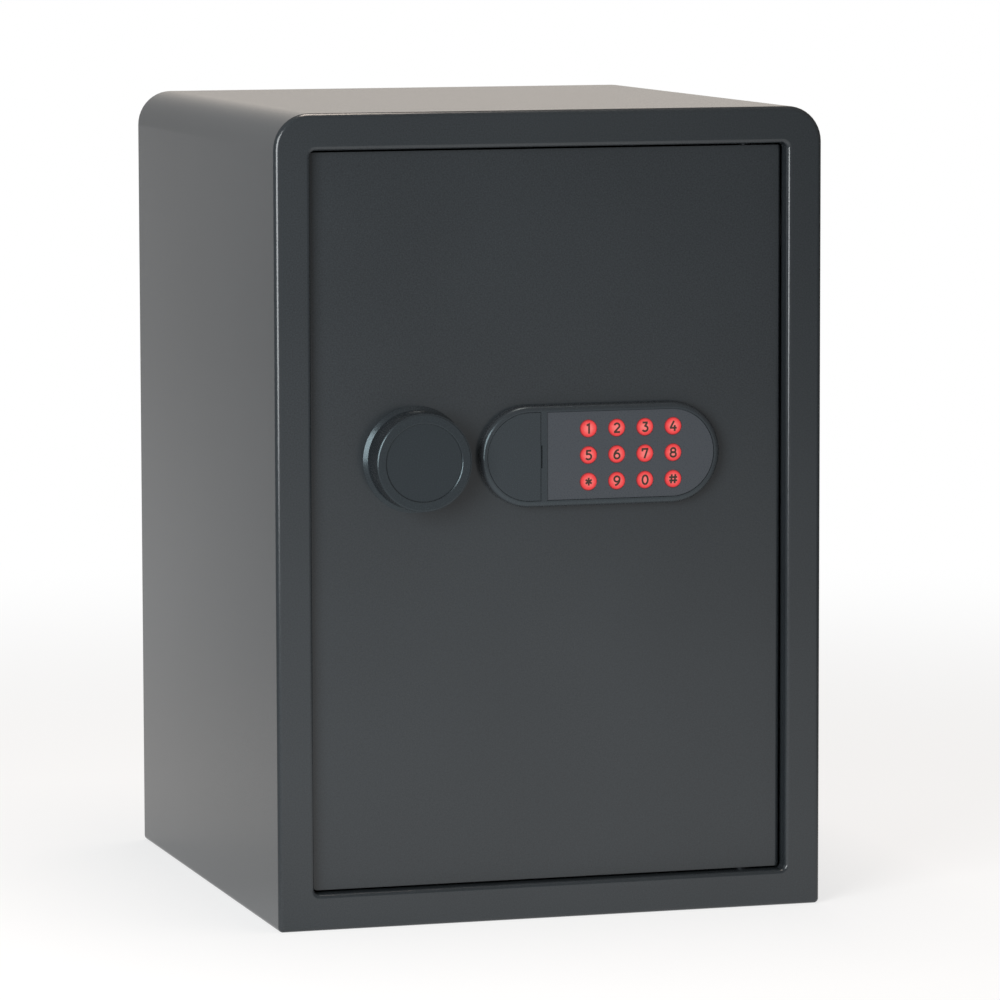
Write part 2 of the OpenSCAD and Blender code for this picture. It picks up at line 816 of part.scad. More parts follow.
module cover_screws() {
    color(zinc) upright() for (p = cover_screw_spots) at(p[0], p[1])
        cross_screw(screw_d, cover_back - screw_head_t, screw_head_t, screw_l);
}

module hinge_blocks() {
    color(coat_dark) upright() for (low = [door_bottom, door_top - hinge_block_h]) difference() {
        block([hinge_x - hinge_block_w / 2, low, door_back - hinge_block_d],
            [hinge_x + hinge_block_w / 2, low + hinge_block_h, door_back]);
        translate([hinge_x, low + hinge_block_h + past, hinge_z]) rotate([90, 0, 0])
            cylinder(d = hinge_pin_d, h = hinge_block_h + 2 * past, $fn = 64);
    }
}

module hinge_pins() {
    pin_l = hinge_block_h + door_gap + pin_in_lug;
    low_end = opening_low - pin_in_lug;
    high_end = door_top - hinge_block_h;
    color(black_steel) for (z = [low_end, high_end])
        translate([hinge_x, -hinge_z, z]) cylinder(d = hinge_pin_d, h = pin_l, $fn = 64);
}

module bolt_bushes() {
    color(brass) for (h = bolt_heights) translate([bush_front, -bolt_z, h]) rotate([0, 90, 0])
        difference() {
            cylinder(d = bolt_d + 2 * bush_wall, h = bush_l, $fn = 64);
            translate([0, 0, -past])
                cylinder(d = bolt_d + 2 * turn_play, h = bush_l + 2 * past, $fn = 64);
        }
}

module knob_bushing() {
    color(brass) upright() at(knob_x, lock_h) difference() {
        union() {
            rod(bushing_d, door_back, door_front, 64);
            rod(bushing_flange_d, door_back - bushing_flange_t, door_back, 64);
        }
        rod(shaft_d + 2 * turn_play, door_back - bushing_flange_t - past, door_front + past, 64);
    }
}

// Half of the keypad's section, from its middle out to its rounded edge
module pad_half_section() {
    r = pad_h / 2;
    square([r - pad_edge_r, pad_d]);
    square([r, pad_d - pad_edge_r]);
    translate([r - pad_edge_r, pad_d - pad_edge_r]) intersection() {
        circle(r = pad_edge_r, $fn = 64);
        square([pad_edge_r, pad_edge_r]);
    }
}

module pad_solid() {
    translate([-end_x, 0, 0]) rotate([90, 0, 90]) linear_extrude(2 * end_x) union() {
        pad_half_section();
        mirror([1, 0]) pad_half_section();
    }
    for (s = [-1, 1]) translate([s * end_x, 0, 0]) rotate([0, 0, -90 * s])
        rotate_extrude(angle = 180, $fn = 128) pad_half_section();
}

// Outline of the key panel, grown by an amount all round
module panel_outline(grow = 0) {
    r = panel_r + grow;
    left = panel_left - grow;
    translate([left, -r]) square([end_x - left, 2 * r]);
    translate([end_x, 0]) circle(r = r, $fn = 128);
}

// Outline of the override cover, drawn in by an amount all round
module cover_outline(inset = 0) {
    r = panel_r - inset;
    right = -seam_x - inset;
    intersection() {
        union() {
            translate([-end_x, 0]) circle(r = r, $fn = 128);
            translate([-end_x, -r]) square([end_x, 2 * r]);
        }
        translate([-pad_w, -pad_h]) square([pad_w + right, 2 * pad_h]);
    }
}

module keypad_housing() {
    inner_half = pad_h / 2 - pad_wall;
    color(plastic) upright() translate([pad_x, lock_h, door_front]) {
        difference() {
            pad_solid();
            // Space behind the key panel
            translate([0, 0, -past]) linear_extrude(cavity_front - door_front + past)
                difference() {
                    stadium(pad_w - 2 * pad_wall, pad_h - 2 * pad_wall);
                    translate([-pad_w, -pad_h]) square([pad_w + panel_left, 2 * pad_h]);
                    for (p = pad_screw_spots) translate(p) circle(d = pad_boss_d, $fn = 48);
                    for (x = [board_left + tab_in, board_right - tab_in - tab_w], s = [0, 1])
                        mirror([0, s]) translate([x, window_h / 2])
                            square([tab_w, inner_half - window_h / 2 + past]);
                }
            // The board lies on the tabs, which end at its face
            translate([0, 0, -past]) linear_extrude(board_front - door_front + past)
                translate([board_left - loose_play, -inner_half])
                    square([board_right - board_left + 2 * loose_play, 2 * inner_half]);
            // Recess for the panel and the window behind it
            translate([0, 0, panel_back - door_front])
                linear_extrude(panel_t + panel_recess + past) panel_outline(panel_play);
            translate([window_left, -window_h / 2, 0])
                cube([window_right - window_left, window_h, pad_d]);
            // Pocket for the cover, and the space under its floor
            translate([0, 0, pocket_floor - door_front]) linear_extrude(pad_d)
                cover_outline(-loose_play);
            translate([0, 0, -past]) linear_extrude(pocket_floor - floor_t - door_front + past)
                cover_outline(pad_wall);
            // Barrel hole, screw holes and the notch for a fingernail
            translate([lock_x - pad_x, 0, -past]) cylinder(d = barrel_d, h = pad_d, $fn = 64);
            for (p = pad_screw_spots) translate([p[0], p[1], -past])
                cylinder(d = pad_screw_d, h = pad_screw_grip + face_play + past, $fn = 32);
            translate([-seam_x, -notch_h / 2, pad_d - notch_deep])
                cube([notch_w, notch_h, notch_deep + past]);
        }
    }
}

module key_panel() {
    color("#44484d") upright() translate([pad_x, lock_h, panel_back]) linear_extrude(panel_t)
        difference() {
            panel_outline();
            for (x = key_col_x, y = key_row_y) translate([x, y])
                circle(d = key_d + 2 * loose_play, $fn = 48);
        }
}

module keypad_board() {
    color("#2f5a3c") upright() translate([pad_x, lock_h, board_back])
        translate([board_left, -board_h / 2, 0]) cube([board_right - board_left, board_h, board_t]);
}

// Silicone mat with a dome under each key
module key_mat() {
    mat_left = key_col_x[0] - key_flange_r;
    mat_right = key_col_x[3] + key_flange_r;
    color("#c9c9c5") upright() translate([pad_x, lock_h, board_front]) {
        translate([mat_left, -window_h / 2 + mat_edge, 0])
            cube([mat_right - mat_left, window_h - 2 * mat_edge, mat_sheet_t]);
        for (x = key_col_x, y = key_row_y) translate([x, y, mat_sheet_t])
            cylinder(d1 = dome_d, d2 = dome_d - dome_taper,
                h = dome_top - board_front - mat_sheet_t, $fn = 32);
    }
}

module keypad_screws() {
    color(zinc) upright() for (p = pad_screw_spots) at(pad_x + p[0], lock_h + p[1])
        cross_screw(pad_screw_d, door_back - pad_screw_head_t, pad_screw_head_t,
            door_t + pad_screw_grip);
}

module override_cover() {
    color(plastic) upright() translate([pad_x, lock_h, 0]) {
        translate([0, 0, pad_front - cover_t]) linear_extrude(cover_t) cover_outline(0);
        translate([0, 0, pocket_floor + face_play])
            linear_extrude(pad_front - cover_t - pocket_floor - face_play) difference() {
                cover_outline(0);
                cover_outline(cover_rim_t);
            }
    }
}

module override_lock_body() {
    color(zinc) upright() at(lock_x, lock_h) difference() {
        union() {
            rod(barrel_d, barrel_back, pocket_floor, 64);
            rod(barrel_flange_d, pocket_floor, plug_face, 64);
        }
        rod(plug_d + 2 * turn_play, barrel_back - past, plug_face + past, 64);
    }
}

module override_lock_nut() {
    color(zinc) upright() at(lock_x, lock_h) difference() {
        rod(nut_af / cos(30), door_back - nut_t, door_back, 6);
        rod(barrel_d, door_back - nut_t - past, door_back + past, 64);
    }
}

module override_lock_plug() {
    color(brass) upright() at(lock_x, lock_h) difference() {
        union() {
            rod(plug_d, barrel_back, plug_face, 64);
            rod(tail_d, barrel_back - loose_play - cam_t - tail_proud, barrel_back, 48);
        }
        translate([-keyway_w / 2, -keyway_h / 2, plug_face - keyway_deep])
            cube([keyway_w, keyway_h, keyway_deep + past]);
    }
}

module override_cam() {
    cam_front = barrel_back - loose_play;
    color(steel) upright() at(lock_x, lock_h) difference() {
        union() {
            rod(cam_w, cam_front - cam_t, cam_front, 48);
            translate([-cam_w / 2, 0, cam_front - cam_t]) cube([cam_w, cam_l, cam_t]);
        }
        rod(tail_d, cam_front - cam_t - past, cam_front + past, 48);
    }
}

module solenoid_frame() {
    half = solenoid_w / 2;
    color(zinc) upright() difference() {
        block([plunger_x - half, solenoid_low, solenoid_back], [plunger_x + half, solenoid_top, door_back]);
        block([plunger_x - half - past, solenoid_low + solenoid_t, solenoid_back - past],
            [plunger_x + half + past, solenoid_top - solenoid_t, door_back - solenoid_t]);
        translate([plunger_x, solenoid_low + solenoid_t + past, plunger_z]) rotate([90, 0, 0])
            cylinder(d = plunger_d + 2 * loose_play, h = solenoid_t + 2 * past, $fn = 48);
        translate([plunger_x, solenoid_top + past, plunger_z]) rotate([90, 0, 0])
            cylinder(d = lead_d, h = solenoid_t + 2 * past, $fn = 32);
    }
}

module solenoid_coil() {
    coil_h = solenoid_h - 2 * solenoid_t;
    color("#7a4a2c") translate([plunger_x, -plunger_z, solenoid_low + solenoid_t]) difference() {
        cylinder(d = coil_d, h = coil_h, $fn = 64);
        translate([0, 0, -past])
            cylinder(d = plunger_d + 2 * loose_play, h = coil_h - coil_cap + past, $fn = 48);
    }
}

module solenoid_plunger() {
    color(steel) translate([plunger_x, -plunger_z, plunger_low]) {
        cylinder(d = plunger_d, h = plunger_l, $fn = 64);
        translate([0, 0, collar_low - plunger_low]) cylinder(d = collar_d, h = collar_t, $fn = 48);
    }
}

// Points of a ring round a place on a path, square to the path's direction
function ring_points(p, dir, side, r, n) =
    let (u = cross(dir, side) / norm(cross(dir, side)), v = cross(u, dir) / norm(cross(u, dir)))
    [for (i = [0 : n - 1]) p + r * (cos(360 * i / n) * u + sin(360 * i / n) * v)];

function path_dir(path, i) =
    let (last = len(path) - 1, d = path[min(i + 1, last)] - path[max(i - 1, 0)]) d / norm(d);

function blend_point(a, b, c, d, t) =
    0.5 * ((2 * b) + (c - a) * t + (2 * a - 5 * b + 4 * c - d) * t * t
        + (3 * b - a - 3 * c + d) * t * t * t);

// Smooth path through a route's points, whose first and last stretches stay straight
function smooth_path(route, steps) = let (last = len(route) - 1) concat(
    [route[0]],
    [for (i = [1 : last - 2], k = [0 : steps - 1])
        blend_point(route[i - 1], route[i], route[i + 1], route[i + 2], k / steps)],
    [route[last - 1], route[last]]);

// Round tube swept along a path as one closed solid
module tube_along(path, d, n, side) {
    last = len(path) - 1;
    points = [for (i = [0 : last]) each ring_points(path[i], path_dir(path, i), side, d / 2, n)];
    walls = [for (i = [0 : last - 1], k = [0 : n - 1])
        let (a = i * n + k, b = i * n + (k + 1) % n)
        each [[a, b, b + n], [a, b + n, a + n]]];
    ends = [[for (k = [n - 1 : -1 : 0]) k], [for (k = [0 : n - 1]) last * n + k]];
    polyhedron(points = points, faces = concat(walls, ends));
}

// Compression spring between the plunger's collar and the solenoid's frame
module plunger_spring() {
    low = collar_low + collar_t + spring_wire_d / 2 + face_play;
    high = solenoid_low - spring_wire_d / 2 - face_play;
    coil_r = plunger_d / 2 + spring_clear;
    steps = 12 * spring_turns;
    path = [for (i = [0 : steps]) [coil_r * cos(30 * i), coil_r * sin(30 * i),
        low + (high - low) * i / steps]];
    color(steel) translate([plunger_x, -plunger_z, 0])
        tube_along(path, spring_wire_d, 6, [0, 0, 1]);
}

module battery_box() {
    low = [battery_x - battery_w / 2, battery_h, pan_back];
    color(plastic) upright() difference() {
        translate(low) cube([battery_w, battery_box_h, battery_floor + battery_wall - pan_back]);
        translate(low + [battery_wall, battery_wall, -past])
            cube([battery_in_w, battery_in_h, battery_floor - pan_back + past]);
    }
}

function cell_height(i) = battery_h + battery_wall + loose_play + cell_pitch * (i + 0.5);

module battery_cells() {
    color("#3b3f3c") for (i = [0 : cell_count - 1])
        translate([battery_x, -(battery_floor - cell_d / 2), cell_height(i)])
            mirror([i % 2, 0, 0]) translate([-cell_l / 2, 0, 0]) rotate([0, 90, 0]) {
                cylinder(d = cell_d, h = cell_l - cell_pip_h, $fn = 48);
                cylinder(d = cell_pip_d, h = cell_l, $fn = 32);
            }
}

module battery_contacts() {
    reach = contact_w / 2;
    mid_z = battery_floor - cell_d / 2;
    color(zinc) upright() for (i = [0 : cell_count - 1], s = [0, 1])
        translate([battery_x, 0, 0]) mirror([s, 0, 0])
            block([-battery_in_w / 2, cell_height(i) - reach, mid_z - reach],
                [-battery_in_w / 2 + contact_t, cell_height(i) + reach, mid_z + reach]);
}

module battery_cover() {
    w = battery_in_w;
    h = battery_in_h;
    outside = cover_back - hatch_proud;
    color(plastic) upright() difference() {
        translate([battery_x - w / 2, battery_mid - h / 2, outside]) cube([w, h, pan_t]);
        // Grooves for a thumb
        for (i = [0 : groove_count - 1])
            translate([battery_x - groove_l / 2, battery_mid + h / 2 - groove_in - i * groove_pitch,
                outside - past]) cube([groove_l, groove_w, past + groove_t]);
    }
}

module control_board() {
    left = control_x - control_w / 2;
    color("#2f5a3c") upright() {
        block([left, control_low, control_back],
            [left + control_w, control_low + control_h, control_front]);
        for (x = [left + standoff_in, left + control_w - standoff_in],
            y = [control_low + standoff_in, control_low + control_h - standoff_in])
            at(x, y) rod(standoff_d, control_front, door_back, 32);
        // Processor, sounder and switch under the reset button
        block([control_x - chip_left, control_mid - chip_w / 2, control_back - chip_t],
            [control_x - chip_left + chip_w, control_mid + chip_w / 2, control_back]);
        at(control_x - sounder_left, control_mid)
            rod(sounder_d, control_back - sounder_t, control_back, 48);
        at(reset_x, control_mid) rod(reset_switch_d, reset_switch_end, control_back, 48);
        // Sockets for the three leads
        for (p = [[keypad_socket_x, socket_top - socket_h], [solenoid_socket_x, socket_top - socket_h],
            [battery_socket_x, socket_low]])
            block([p[0] - socket_w / 2, p[1], control_back - socket_t],
                [p[0] + socket_w / 2, p[1] + socket_h, control_back]);
    }
}

// A lead; the side is a direction that its route never runs along
module lead(route, side) {
    color("#8a2f2b") upright() tube_along(smooth_path(route, lead_steps), lead_d, lead_sides, side);
}

module reset_button() {
    color("#b5302c") upright() at(reset_x, control_mid) {
        rod(reset_d, reset_front, reset_back, 48);
        rod(reset_d + 2 * reset_flange_w, pan_back + loose_play,
            pan_back + loose_play + reset_flange_t, 48);
    }
}

module bolt_bar() {
    low = bolt_heights[0] - bar_end;
    high = bolt_heights[2] + bar_end;
    color(zinc) upright() difference() {
        union() {
            block([bar_left, low, web_front - bar_depth], [bar_right, high, web_front]);
            block([bar_right, web_low, web_back], [web_right, web_high, web_front]);
            block([tooth_left, web_high, web_back],
                [tooth_left + tooth_w, web_high + tooth_h, web_front]);
        }
        // Upright slot for the crank pin
        block([crank_x - crank_pin_d / 2 - slot_play, slot_low, web_back - past],
            [crank_x + crank_pin_d / 2 + slot_play, slot_high, web_front + past]);
        for (y = bolt_heights) translate([bar_left - past, y, bolt_z]) rotate([0, 90, 0])
            cylinder(d = bolt_screw_d, h = bar_t + 2 * past, $fn = 48);
    }
}

module locking_bolts() {
    body_l = bar_left - bolt_tip - bolt_tip_chamfer;
    color(steel) for (h = bolt_heights) translate([bolt_tip, -bolt_z, h]) rotate([0, 90, 0])
        difference() {
            union() {
                cylinder(d1 = bolt_d - 2 * bolt_tip_chamfer, d2 = bolt_d, h = bolt_tip_chamfer,
                    $fn = 64);
                translate([0, 0, bolt_tip_chamfer]) cylinder(d = bolt_d, h = body_l, $fn = 64);
            }
            translate([0, 0, body_l + bolt_tip_chamfer - bolt_screw_in])
                cylinder(d = bolt_screw_d, h = bolt_screw_in + past, $fn = 48);
        }
}

module bolt_screws() {
    color(black_steel) for (h = bolt_heights) translate([bar_right, -bolt_z, h]) rotate([0, 90, 0]) {
        difference() {
            cylinder(d = bolt_screw_head_d, h = bolt_screw_head_t, $fn = 48);
            translate([0, 0, bolt_screw_head_t / 2])
                cylinder(d = bolt_socket_d, h = bolt_screw_head_t, $fn = 6);
        }
        translate([0, 0, -bar_t - bolt_screw_in])
            cylinder(d = bolt_screw_d, h = bar_t + bolt_screw_in, $fn = 48);
    }
}

// Ribbed outline: a point on each rib and one in each groove
function rib_outline(n, r, depth) =
    [for (i = [0 : 2 * n - 1]) (i % 2 == 0 ? r : r - depth) * [cos(180 * i / n), sin(180 * i / n)]];

module knob_grip() {
    foot_r = knob_foot_d / 2;
    rim_r = knob_rim_d / 2;
    cap_r = rim_r - rib_depth - knob_step;
    foot_top = door_front + knob_foot_h;
    rim_top = knob_top - knob_chamfer;
    color(plastic) upright() at(knob_x, lock_h) difference() {
        union() {
            translate([0, 0, knob_back]) cylinder(r1 = foot_r, r2 = rim_r + knob_step,
                h = foot_top - knob_back, $fn = 128);
            translate([0, 0, foot_top]) linear_extrude(rim_top - foot_top)
                polygon(rib_outline(knob_ribs, rim_r, rib_depth));
            translate([0, 0, rim_top]) cylinder(r1 = cap_r, r2 = cap_r - knob_chamfer_in,
                h = knob_chamfer, $fn = 128);
        }
        difference() {
            rod(2 * (rim_r - rib_depth - knob_wall), knob_back - past, knob_floor, 96);
            rod(knob_hub_d, knob_back - 2 * past, knob_floor + past, 64);
        }
        rod(shaft_d, knob_back - past, knob_floor, 64);
        rod(knob_face_d, knob_top - knob_face_recess - knob_face_t, knob_top + past, 128);
        translate([0, 0, knob_top - 2 * knob_mouth_deep])
            cylinder(d1 = knob_face_d - 2 * knob_mouth_out, d2 = knob_face_d + 4 * knob_mouth_out,
                h = 3 * knob_mouth_deep, $fn = 128);
    }
}

module knob_face() {
    color(plastic) upright() at(knob_x, lock_h)
        rod(knob_face_d - 2 * knob_face_play, knob_top - knob_face_recess - knob_face_t,
            knob_top - knob_face_recess, 128);
}

module knob_shaft() {
    color(steel) upright() at(knob_x, lock_h) rod(shaft_d, disc_back, knob_floor, 64);
}

module cam_disc() {
    color(zinc) upright() difference() {
        at(knob_x, lock_h) rod(disc_d, disc_back, disc_front, 96);
        at(knob_x, lock_h) rod(shaft_d, disc_back - past, disc_front + past, 64);
        at(crank_x, crank_y) rod(crank_neck_d, disc_back - past, disc_front + past, 48);
    }
}

// The pin's neck is riveted in the disc, and its drum works in the bar's slot
module crank_pin() {
    color(steel) upright() at(crank_x, crank_y) {
        rod(crank_neck_d, disc_back, disc_front, 48);
        rod(crank_pin_d, web_back - crank_pin_proud, disc_back, 64);
    }
}

module key_cap(column, row) {
    color(glow) upright() translate([pad_x + key_col_x[column], lock_h + key_row_y[row], 0]) {
        rod(key_d, key_back, panel_front + key_proud, 64);
        rod(2 * key_flange_r, key_back, key_flange_front, 64);
    }
}

body_wrap();
front_frame();
back_plate();
door_stops();
hinge_lugs();
hinge_washer();
shelf();
shelf_brackets();
floor_mat();
door_plate();
door_pan();
door_back_cover();
cover_screws();
hinge_blocks();
hinge_pins();
bolt_bushes();
knob_bushing();
keypad_housing();
key_panel();
keypad_board();
key_mat();
keypad_screws();
override_cover();
override_lock_body();
override_lock_nut();
override_lock_plug();
override_cam();
solenoid_frame();
solenoid_coil();
solenoid_plunger();
plunger_spring();
battery_box();
battery_cells();
battery_contacts();
battery_cover();
control_board();
lead(keypad_lead_route, [1, 0, 0]);  // keypad_lead
lead(solenoid_lead_route, [0, 0, 1]);  // solenoid_lead
lead(battery_lead_route, [1, 0, 0]);  // battery_lead
reset_button();
bolt_bar();
locking_bolts();
bolt_screws();
knob_grip();
knob_face();
knob_shaft();
cam_disc();
crank_pin();
key_cap(0, 0);  // key_1
key_cap(1, 0);  // key_2
key_cap(2, 0);  // key_3
key_cap(3, 0);  // key_4
key_cap(0, 1);  // key_5
key_cap(1, 1);  // key_6
key_cap(2, 1);  // key_7
key_cap(3, 1);  // key_8
key_cap(0, 2);  // key_star
key_cap(1, 2);  // key_9
key_cap(2, 2);  // key_0
key_cap(3, 2);  // key_hash
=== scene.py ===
"""Looks of a free-standing electronic safe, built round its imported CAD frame.

Metres, +Z up, the front of the safe faces -Y. Every size that is typed here is a real one, and
every place on the safe is worked out from the frame.
"""

import logging
import math
from collections.abc import Callable
from dataclasses import dataclass, field
from enum import Enum

import bpy
from mathutils import Matrix, Vector, noise
from mathutils.geometry import delaunay_2d_cdt


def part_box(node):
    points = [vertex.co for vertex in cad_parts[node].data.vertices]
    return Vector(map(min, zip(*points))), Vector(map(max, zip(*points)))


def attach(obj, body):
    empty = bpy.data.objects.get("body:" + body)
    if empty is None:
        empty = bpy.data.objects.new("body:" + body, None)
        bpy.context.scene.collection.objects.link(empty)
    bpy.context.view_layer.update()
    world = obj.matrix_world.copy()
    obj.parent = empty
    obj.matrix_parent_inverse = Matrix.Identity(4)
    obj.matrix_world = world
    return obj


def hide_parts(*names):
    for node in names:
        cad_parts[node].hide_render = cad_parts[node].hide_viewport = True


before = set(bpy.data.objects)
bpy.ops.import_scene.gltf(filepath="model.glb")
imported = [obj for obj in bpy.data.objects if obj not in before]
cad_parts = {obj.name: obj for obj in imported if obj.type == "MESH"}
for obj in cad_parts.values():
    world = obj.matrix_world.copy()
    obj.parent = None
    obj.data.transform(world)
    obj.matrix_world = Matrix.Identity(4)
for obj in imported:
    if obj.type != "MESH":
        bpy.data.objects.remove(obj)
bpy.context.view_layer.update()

logging.basicConfig(level=logging.INFO, format="%(name)s: %(message)s")
LOG = logging.getLogger("safe")

Point = tuple[float, float]
Place = tuple[float, float, float]
Span = tuple[float, float]
Socket = bpy.types.NodeSocket
Tree = bpy.types.NodeTree

MM = 0.001
WHITE = "#ffffff"
# Numbers of a Mix node's sockets: its two numbers, its two colours and the colour it gives
MIX_LOW, MIX_HIGH = 2, 3
MIX_A, MIX_B, MIX_COLOUR = 6, 7, 2
# Most of a noise texture's output lies in the first span, and all of a cell or wave texture's
# in the second
NOISE_SPAN: Span = (0.3, 0.7)
FULL_SPAN: Span = (0.0, 1.0)
# Points of a CAD mesh that are nearer than this are one. Edges sharper than this angle are
# rounded, in this many steps
JOIN_MM = 0.002
CORNER_DEG = 40
EDGE_STEPS = 3
# The triangulation keeps what lies inside the outlines, and joins points nearer than this
INSIDE_ONLY = 1
SAME_POINT = 1e-9
# An arc of a sign has a point every so many degrees, and never fewer stretches than this
ARC_STEP_DEG = 10
ARC_STEPS_LEAST = 3
# Points of a pen stroke that are nearer than this, in millimetres, are one
PEN_STEP = 1e-4
# At a corner the pen's side is drawn out by one over the cosine, which is taken no smaller
SHARPEST = 0.55


def linear(colour: str) -> tuple[float, float, float, float]:
    """Turns an sRGB colour into a linear one.

    Args:
        colour: Six hex digits after a hash sign.

    Returns:
        Linear red, green and blue, and an alpha of 1.
    """
    shares = [int(colour[i:i + 2], 16) / 255 for i in (1, 3, 5)]
    red, green, blue = (s / 12.92 if s <= 0.04045 else ((s + 0.055) / 1.055) ** 2.4 for s in shares)
    return red, green, blue, 1.0


def per_mm(size: float) -> float:
    """Gives the texture scale at which a pattern repeats every so many millimetres."""
    return 1 / (size * MM)


def add_node(tree: Tree, kind: str, inputs: dict | None = None,
             **settings: object) -> bpy.types.Node:
    """Adds a node with its settings and links.

    Args:
        tree: Node tree that the node goes into.
        kind: Type of the node.
        inputs: Value of each input by its name or number; a socket is linked to it.
        **settings: Properties of the node.

    Returns:
        The new node.
    """
    node = tree.nodes.new(kind)
    for name, value in settings.items():
        setattr(node, name, value)
    for name, value in (inputs or {}).items():
        if isinstance(value, Socket):
            tree.links.new(value, node.inputs[name])
        else:
            node.inputs[name].default_value = value
    return node


class Axis(Enum):
    """Axis that a piece was turned about."""

    X = 0
    Y = 1
    Z = 2

    def stretched(self, along: float, across: float) -> Place:
        """Gives a scale with one value along this axis and another across it."""
        return tuple(along if i == self.value else across for i in range(3))


@dataclass(frozen=True)
class Skin:
    """A material that is being made.

    Attributes:
        tree: Its node tree.
        shader: Its principled shader.
        place: Place on the piece, in metres.
    """

    tree: Tree
    shader: bpy.types.Node
    place: Socket

    def feed(self, name: str, value: Socket) -> None:
        """Links a value to an input of the shader."""
        self.tree.links.new(value, self.shader.inputs[name])

    def shade(self, colour: str, height: Socket, span: Span, shares: Span,
              name: str = "Base Color") -> None:
        """Lets a pattern darken and brighten a colour.

        Args:
            colour: The colour.
            height: The pattern.
            span: Low and high end of the pattern.
            shares: Share of the colour's brightness at either end.
            name: Input of the shader that takes the result.
        """
        share = add_node(self.tree, "ShaderNodeMapRange", {
            "Value": height, "From Min": span[0], "From Max": span[1],
            "To Min": shares[0], "To Max": shares[1]})
        tone = add_node(self.tree, "ShaderNodeHueSaturation", {
            "Color": linear(colour), "Value": share.outputs[0]})
        self.feed(name, tone.outputs[0])

    def blend(self, first: str, second: str, share: Socket) -> None:
        """Lets a pattern turn one colour into another.

        Args:
            first: Colour where the pattern is 0.
            second: Colour where it is 1.
            share: The pattern.
        """
        both = add_node(self.tree, "ShaderNodeMix", {
            "Factor": share, MIX_A: linear(first), MIX_B: linear(second)}, data_type="RGBA")
        self.feed("Base Color", both.outputs[MIX_COLOUR])

    def polish(self, roughness: float, height: Socket, span: Span, change: Span) -> None:
        """Lets a pattern make the surface glossier and duller.

        Args:
            roughness: Roughness of the surface.
            height: The pattern.
            span: Low and high end of the pattern.
            change: What either end adds to the roughness.
        """
        gloss = add_node(self.tree, "ShaderNodeMapRange", {
            "Value": height, "From Min": span[0], "From Max": span[1],
            "To Min": roughness + change[0], "To Max": roughness + change[1]})
        self.feed("Roughness", gloss.outputs[0])

    def emboss(self, height: Socket, depth_mm: float) -> None:
        """Lets a pattern raise the surface.

        Args:
            height: The pattern.
            depth_mm: How high a pattern of 1 stands above one of 0.
        """
        relief = add_node(self.tree, "ShaderNodeBump", {
            "Height": height, "Strength": 1.0, "Distance": depth_mm * MM})
        self.feed("Normal", relief.outputs[0])


MADE: dict[str, bpy.types.Material] = {}


@dataclass(frozen=True)
class Finish:
    """A surface, with the values that are the same all over it.

    Attributes:
        name: The material and how its surface was made.
        colour: Its colour.
        roughness: Its roughness, before any pattern.
        metallic: 1 for bare metal, else 0.
        ior: Its index of refraction.
        shine: Tint of what it mirrors when it is seen square on.
    """

    name: str
    colour: str
    roughness: float
    metallic: float = 0.0
    ior: float = 1.5
    shine: str = WHITE

    def material(self) -> bpy.types.Material:
        """Makes the finish's material, once.

        Returns:
            The material, which all pieces of this finish share.
        """
        if self.name not in MADE:
            made = bpy.data.materials.new(self.name)
            made.use_nodes = True
            tree = made.node_tree
            tree.nodes.clear()
            shader = add_node(tree, "ShaderNodeBsdfPrincipled", {
                "Base Color": linear(self.colour), "Roughness": self.roughness,
                "Metallic": self.metallic, "IOR": self.ior,
                "Specular Tint": linear(self.shine)})
            add_node(tree, "ShaderNodeOutputMaterial", {"Surface": shader.outputs["BSDF"]})
            place = add_node(tree, "ShaderNodeTexCoord").outputs["Object"]
            self.detail(Skin(tree, shader, place))
            MADE[self.name] = made
        return MADE[self.name]

    def detail(self, skin: Skin) -> None:
        """Adds what varies over the surface.

        Args:
            skin: The material.
        """


@dataclass(frozen=True)
class PowderCoat(Finish):
    """Polyester powder, sprayed on steel and baked.

    The flow of the melted powder leaves a very fine peel, so highlights are broad and satin.
    The true grain is about 0.3 mm; it is drawn three times as coarse, to show in the render.
    """

    grain_mm: float = 0.9
    grain_depth_mm: float = 0.018
    cloud_mm: float = 120.0
    cloud_share: float = 0.3
    tone_span: Span = (0.4, 0.9)
    tone: Span = (0.78, 1.22)
    gloss: Span = (-0.03, 0.03)

    def detail(self, skin: Skin) -> None:
        """Adds the grain, and a slow drift in tone where the spray was thicker.

        Args:
            skin: The material.
        """
        grain = add_node(skin.tree, "ShaderNodeTexNoise", {
            "Vector": skin.place, "Scale": per_mm(self.grain_mm), "Detail": 2.0,
            "Roughness": 0.6})
        cloud = add_node(skin.tree, "ShaderNodeTexNoise", {
            "Vector": skin.place, "Scale": per_mm(self.cloud_mm), "Detail": 1.0})
        both = add_node(skin.tree, "ShaderNodeMath", {
            0: cloud.outputs[0], 1: self.cloud_share, 2: grain.outputs[0]},
            operation="MULTIPLY_ADD")
        skin.shade(self.colour, both.outputs[0], self.tone_span, self.tone)
        skin.polish(self.roughness, grain.outputs[0], NOISE_SPAN, self.gloss)
        skin.emboss(grain.outputs[0], self.grain_depth_mm)


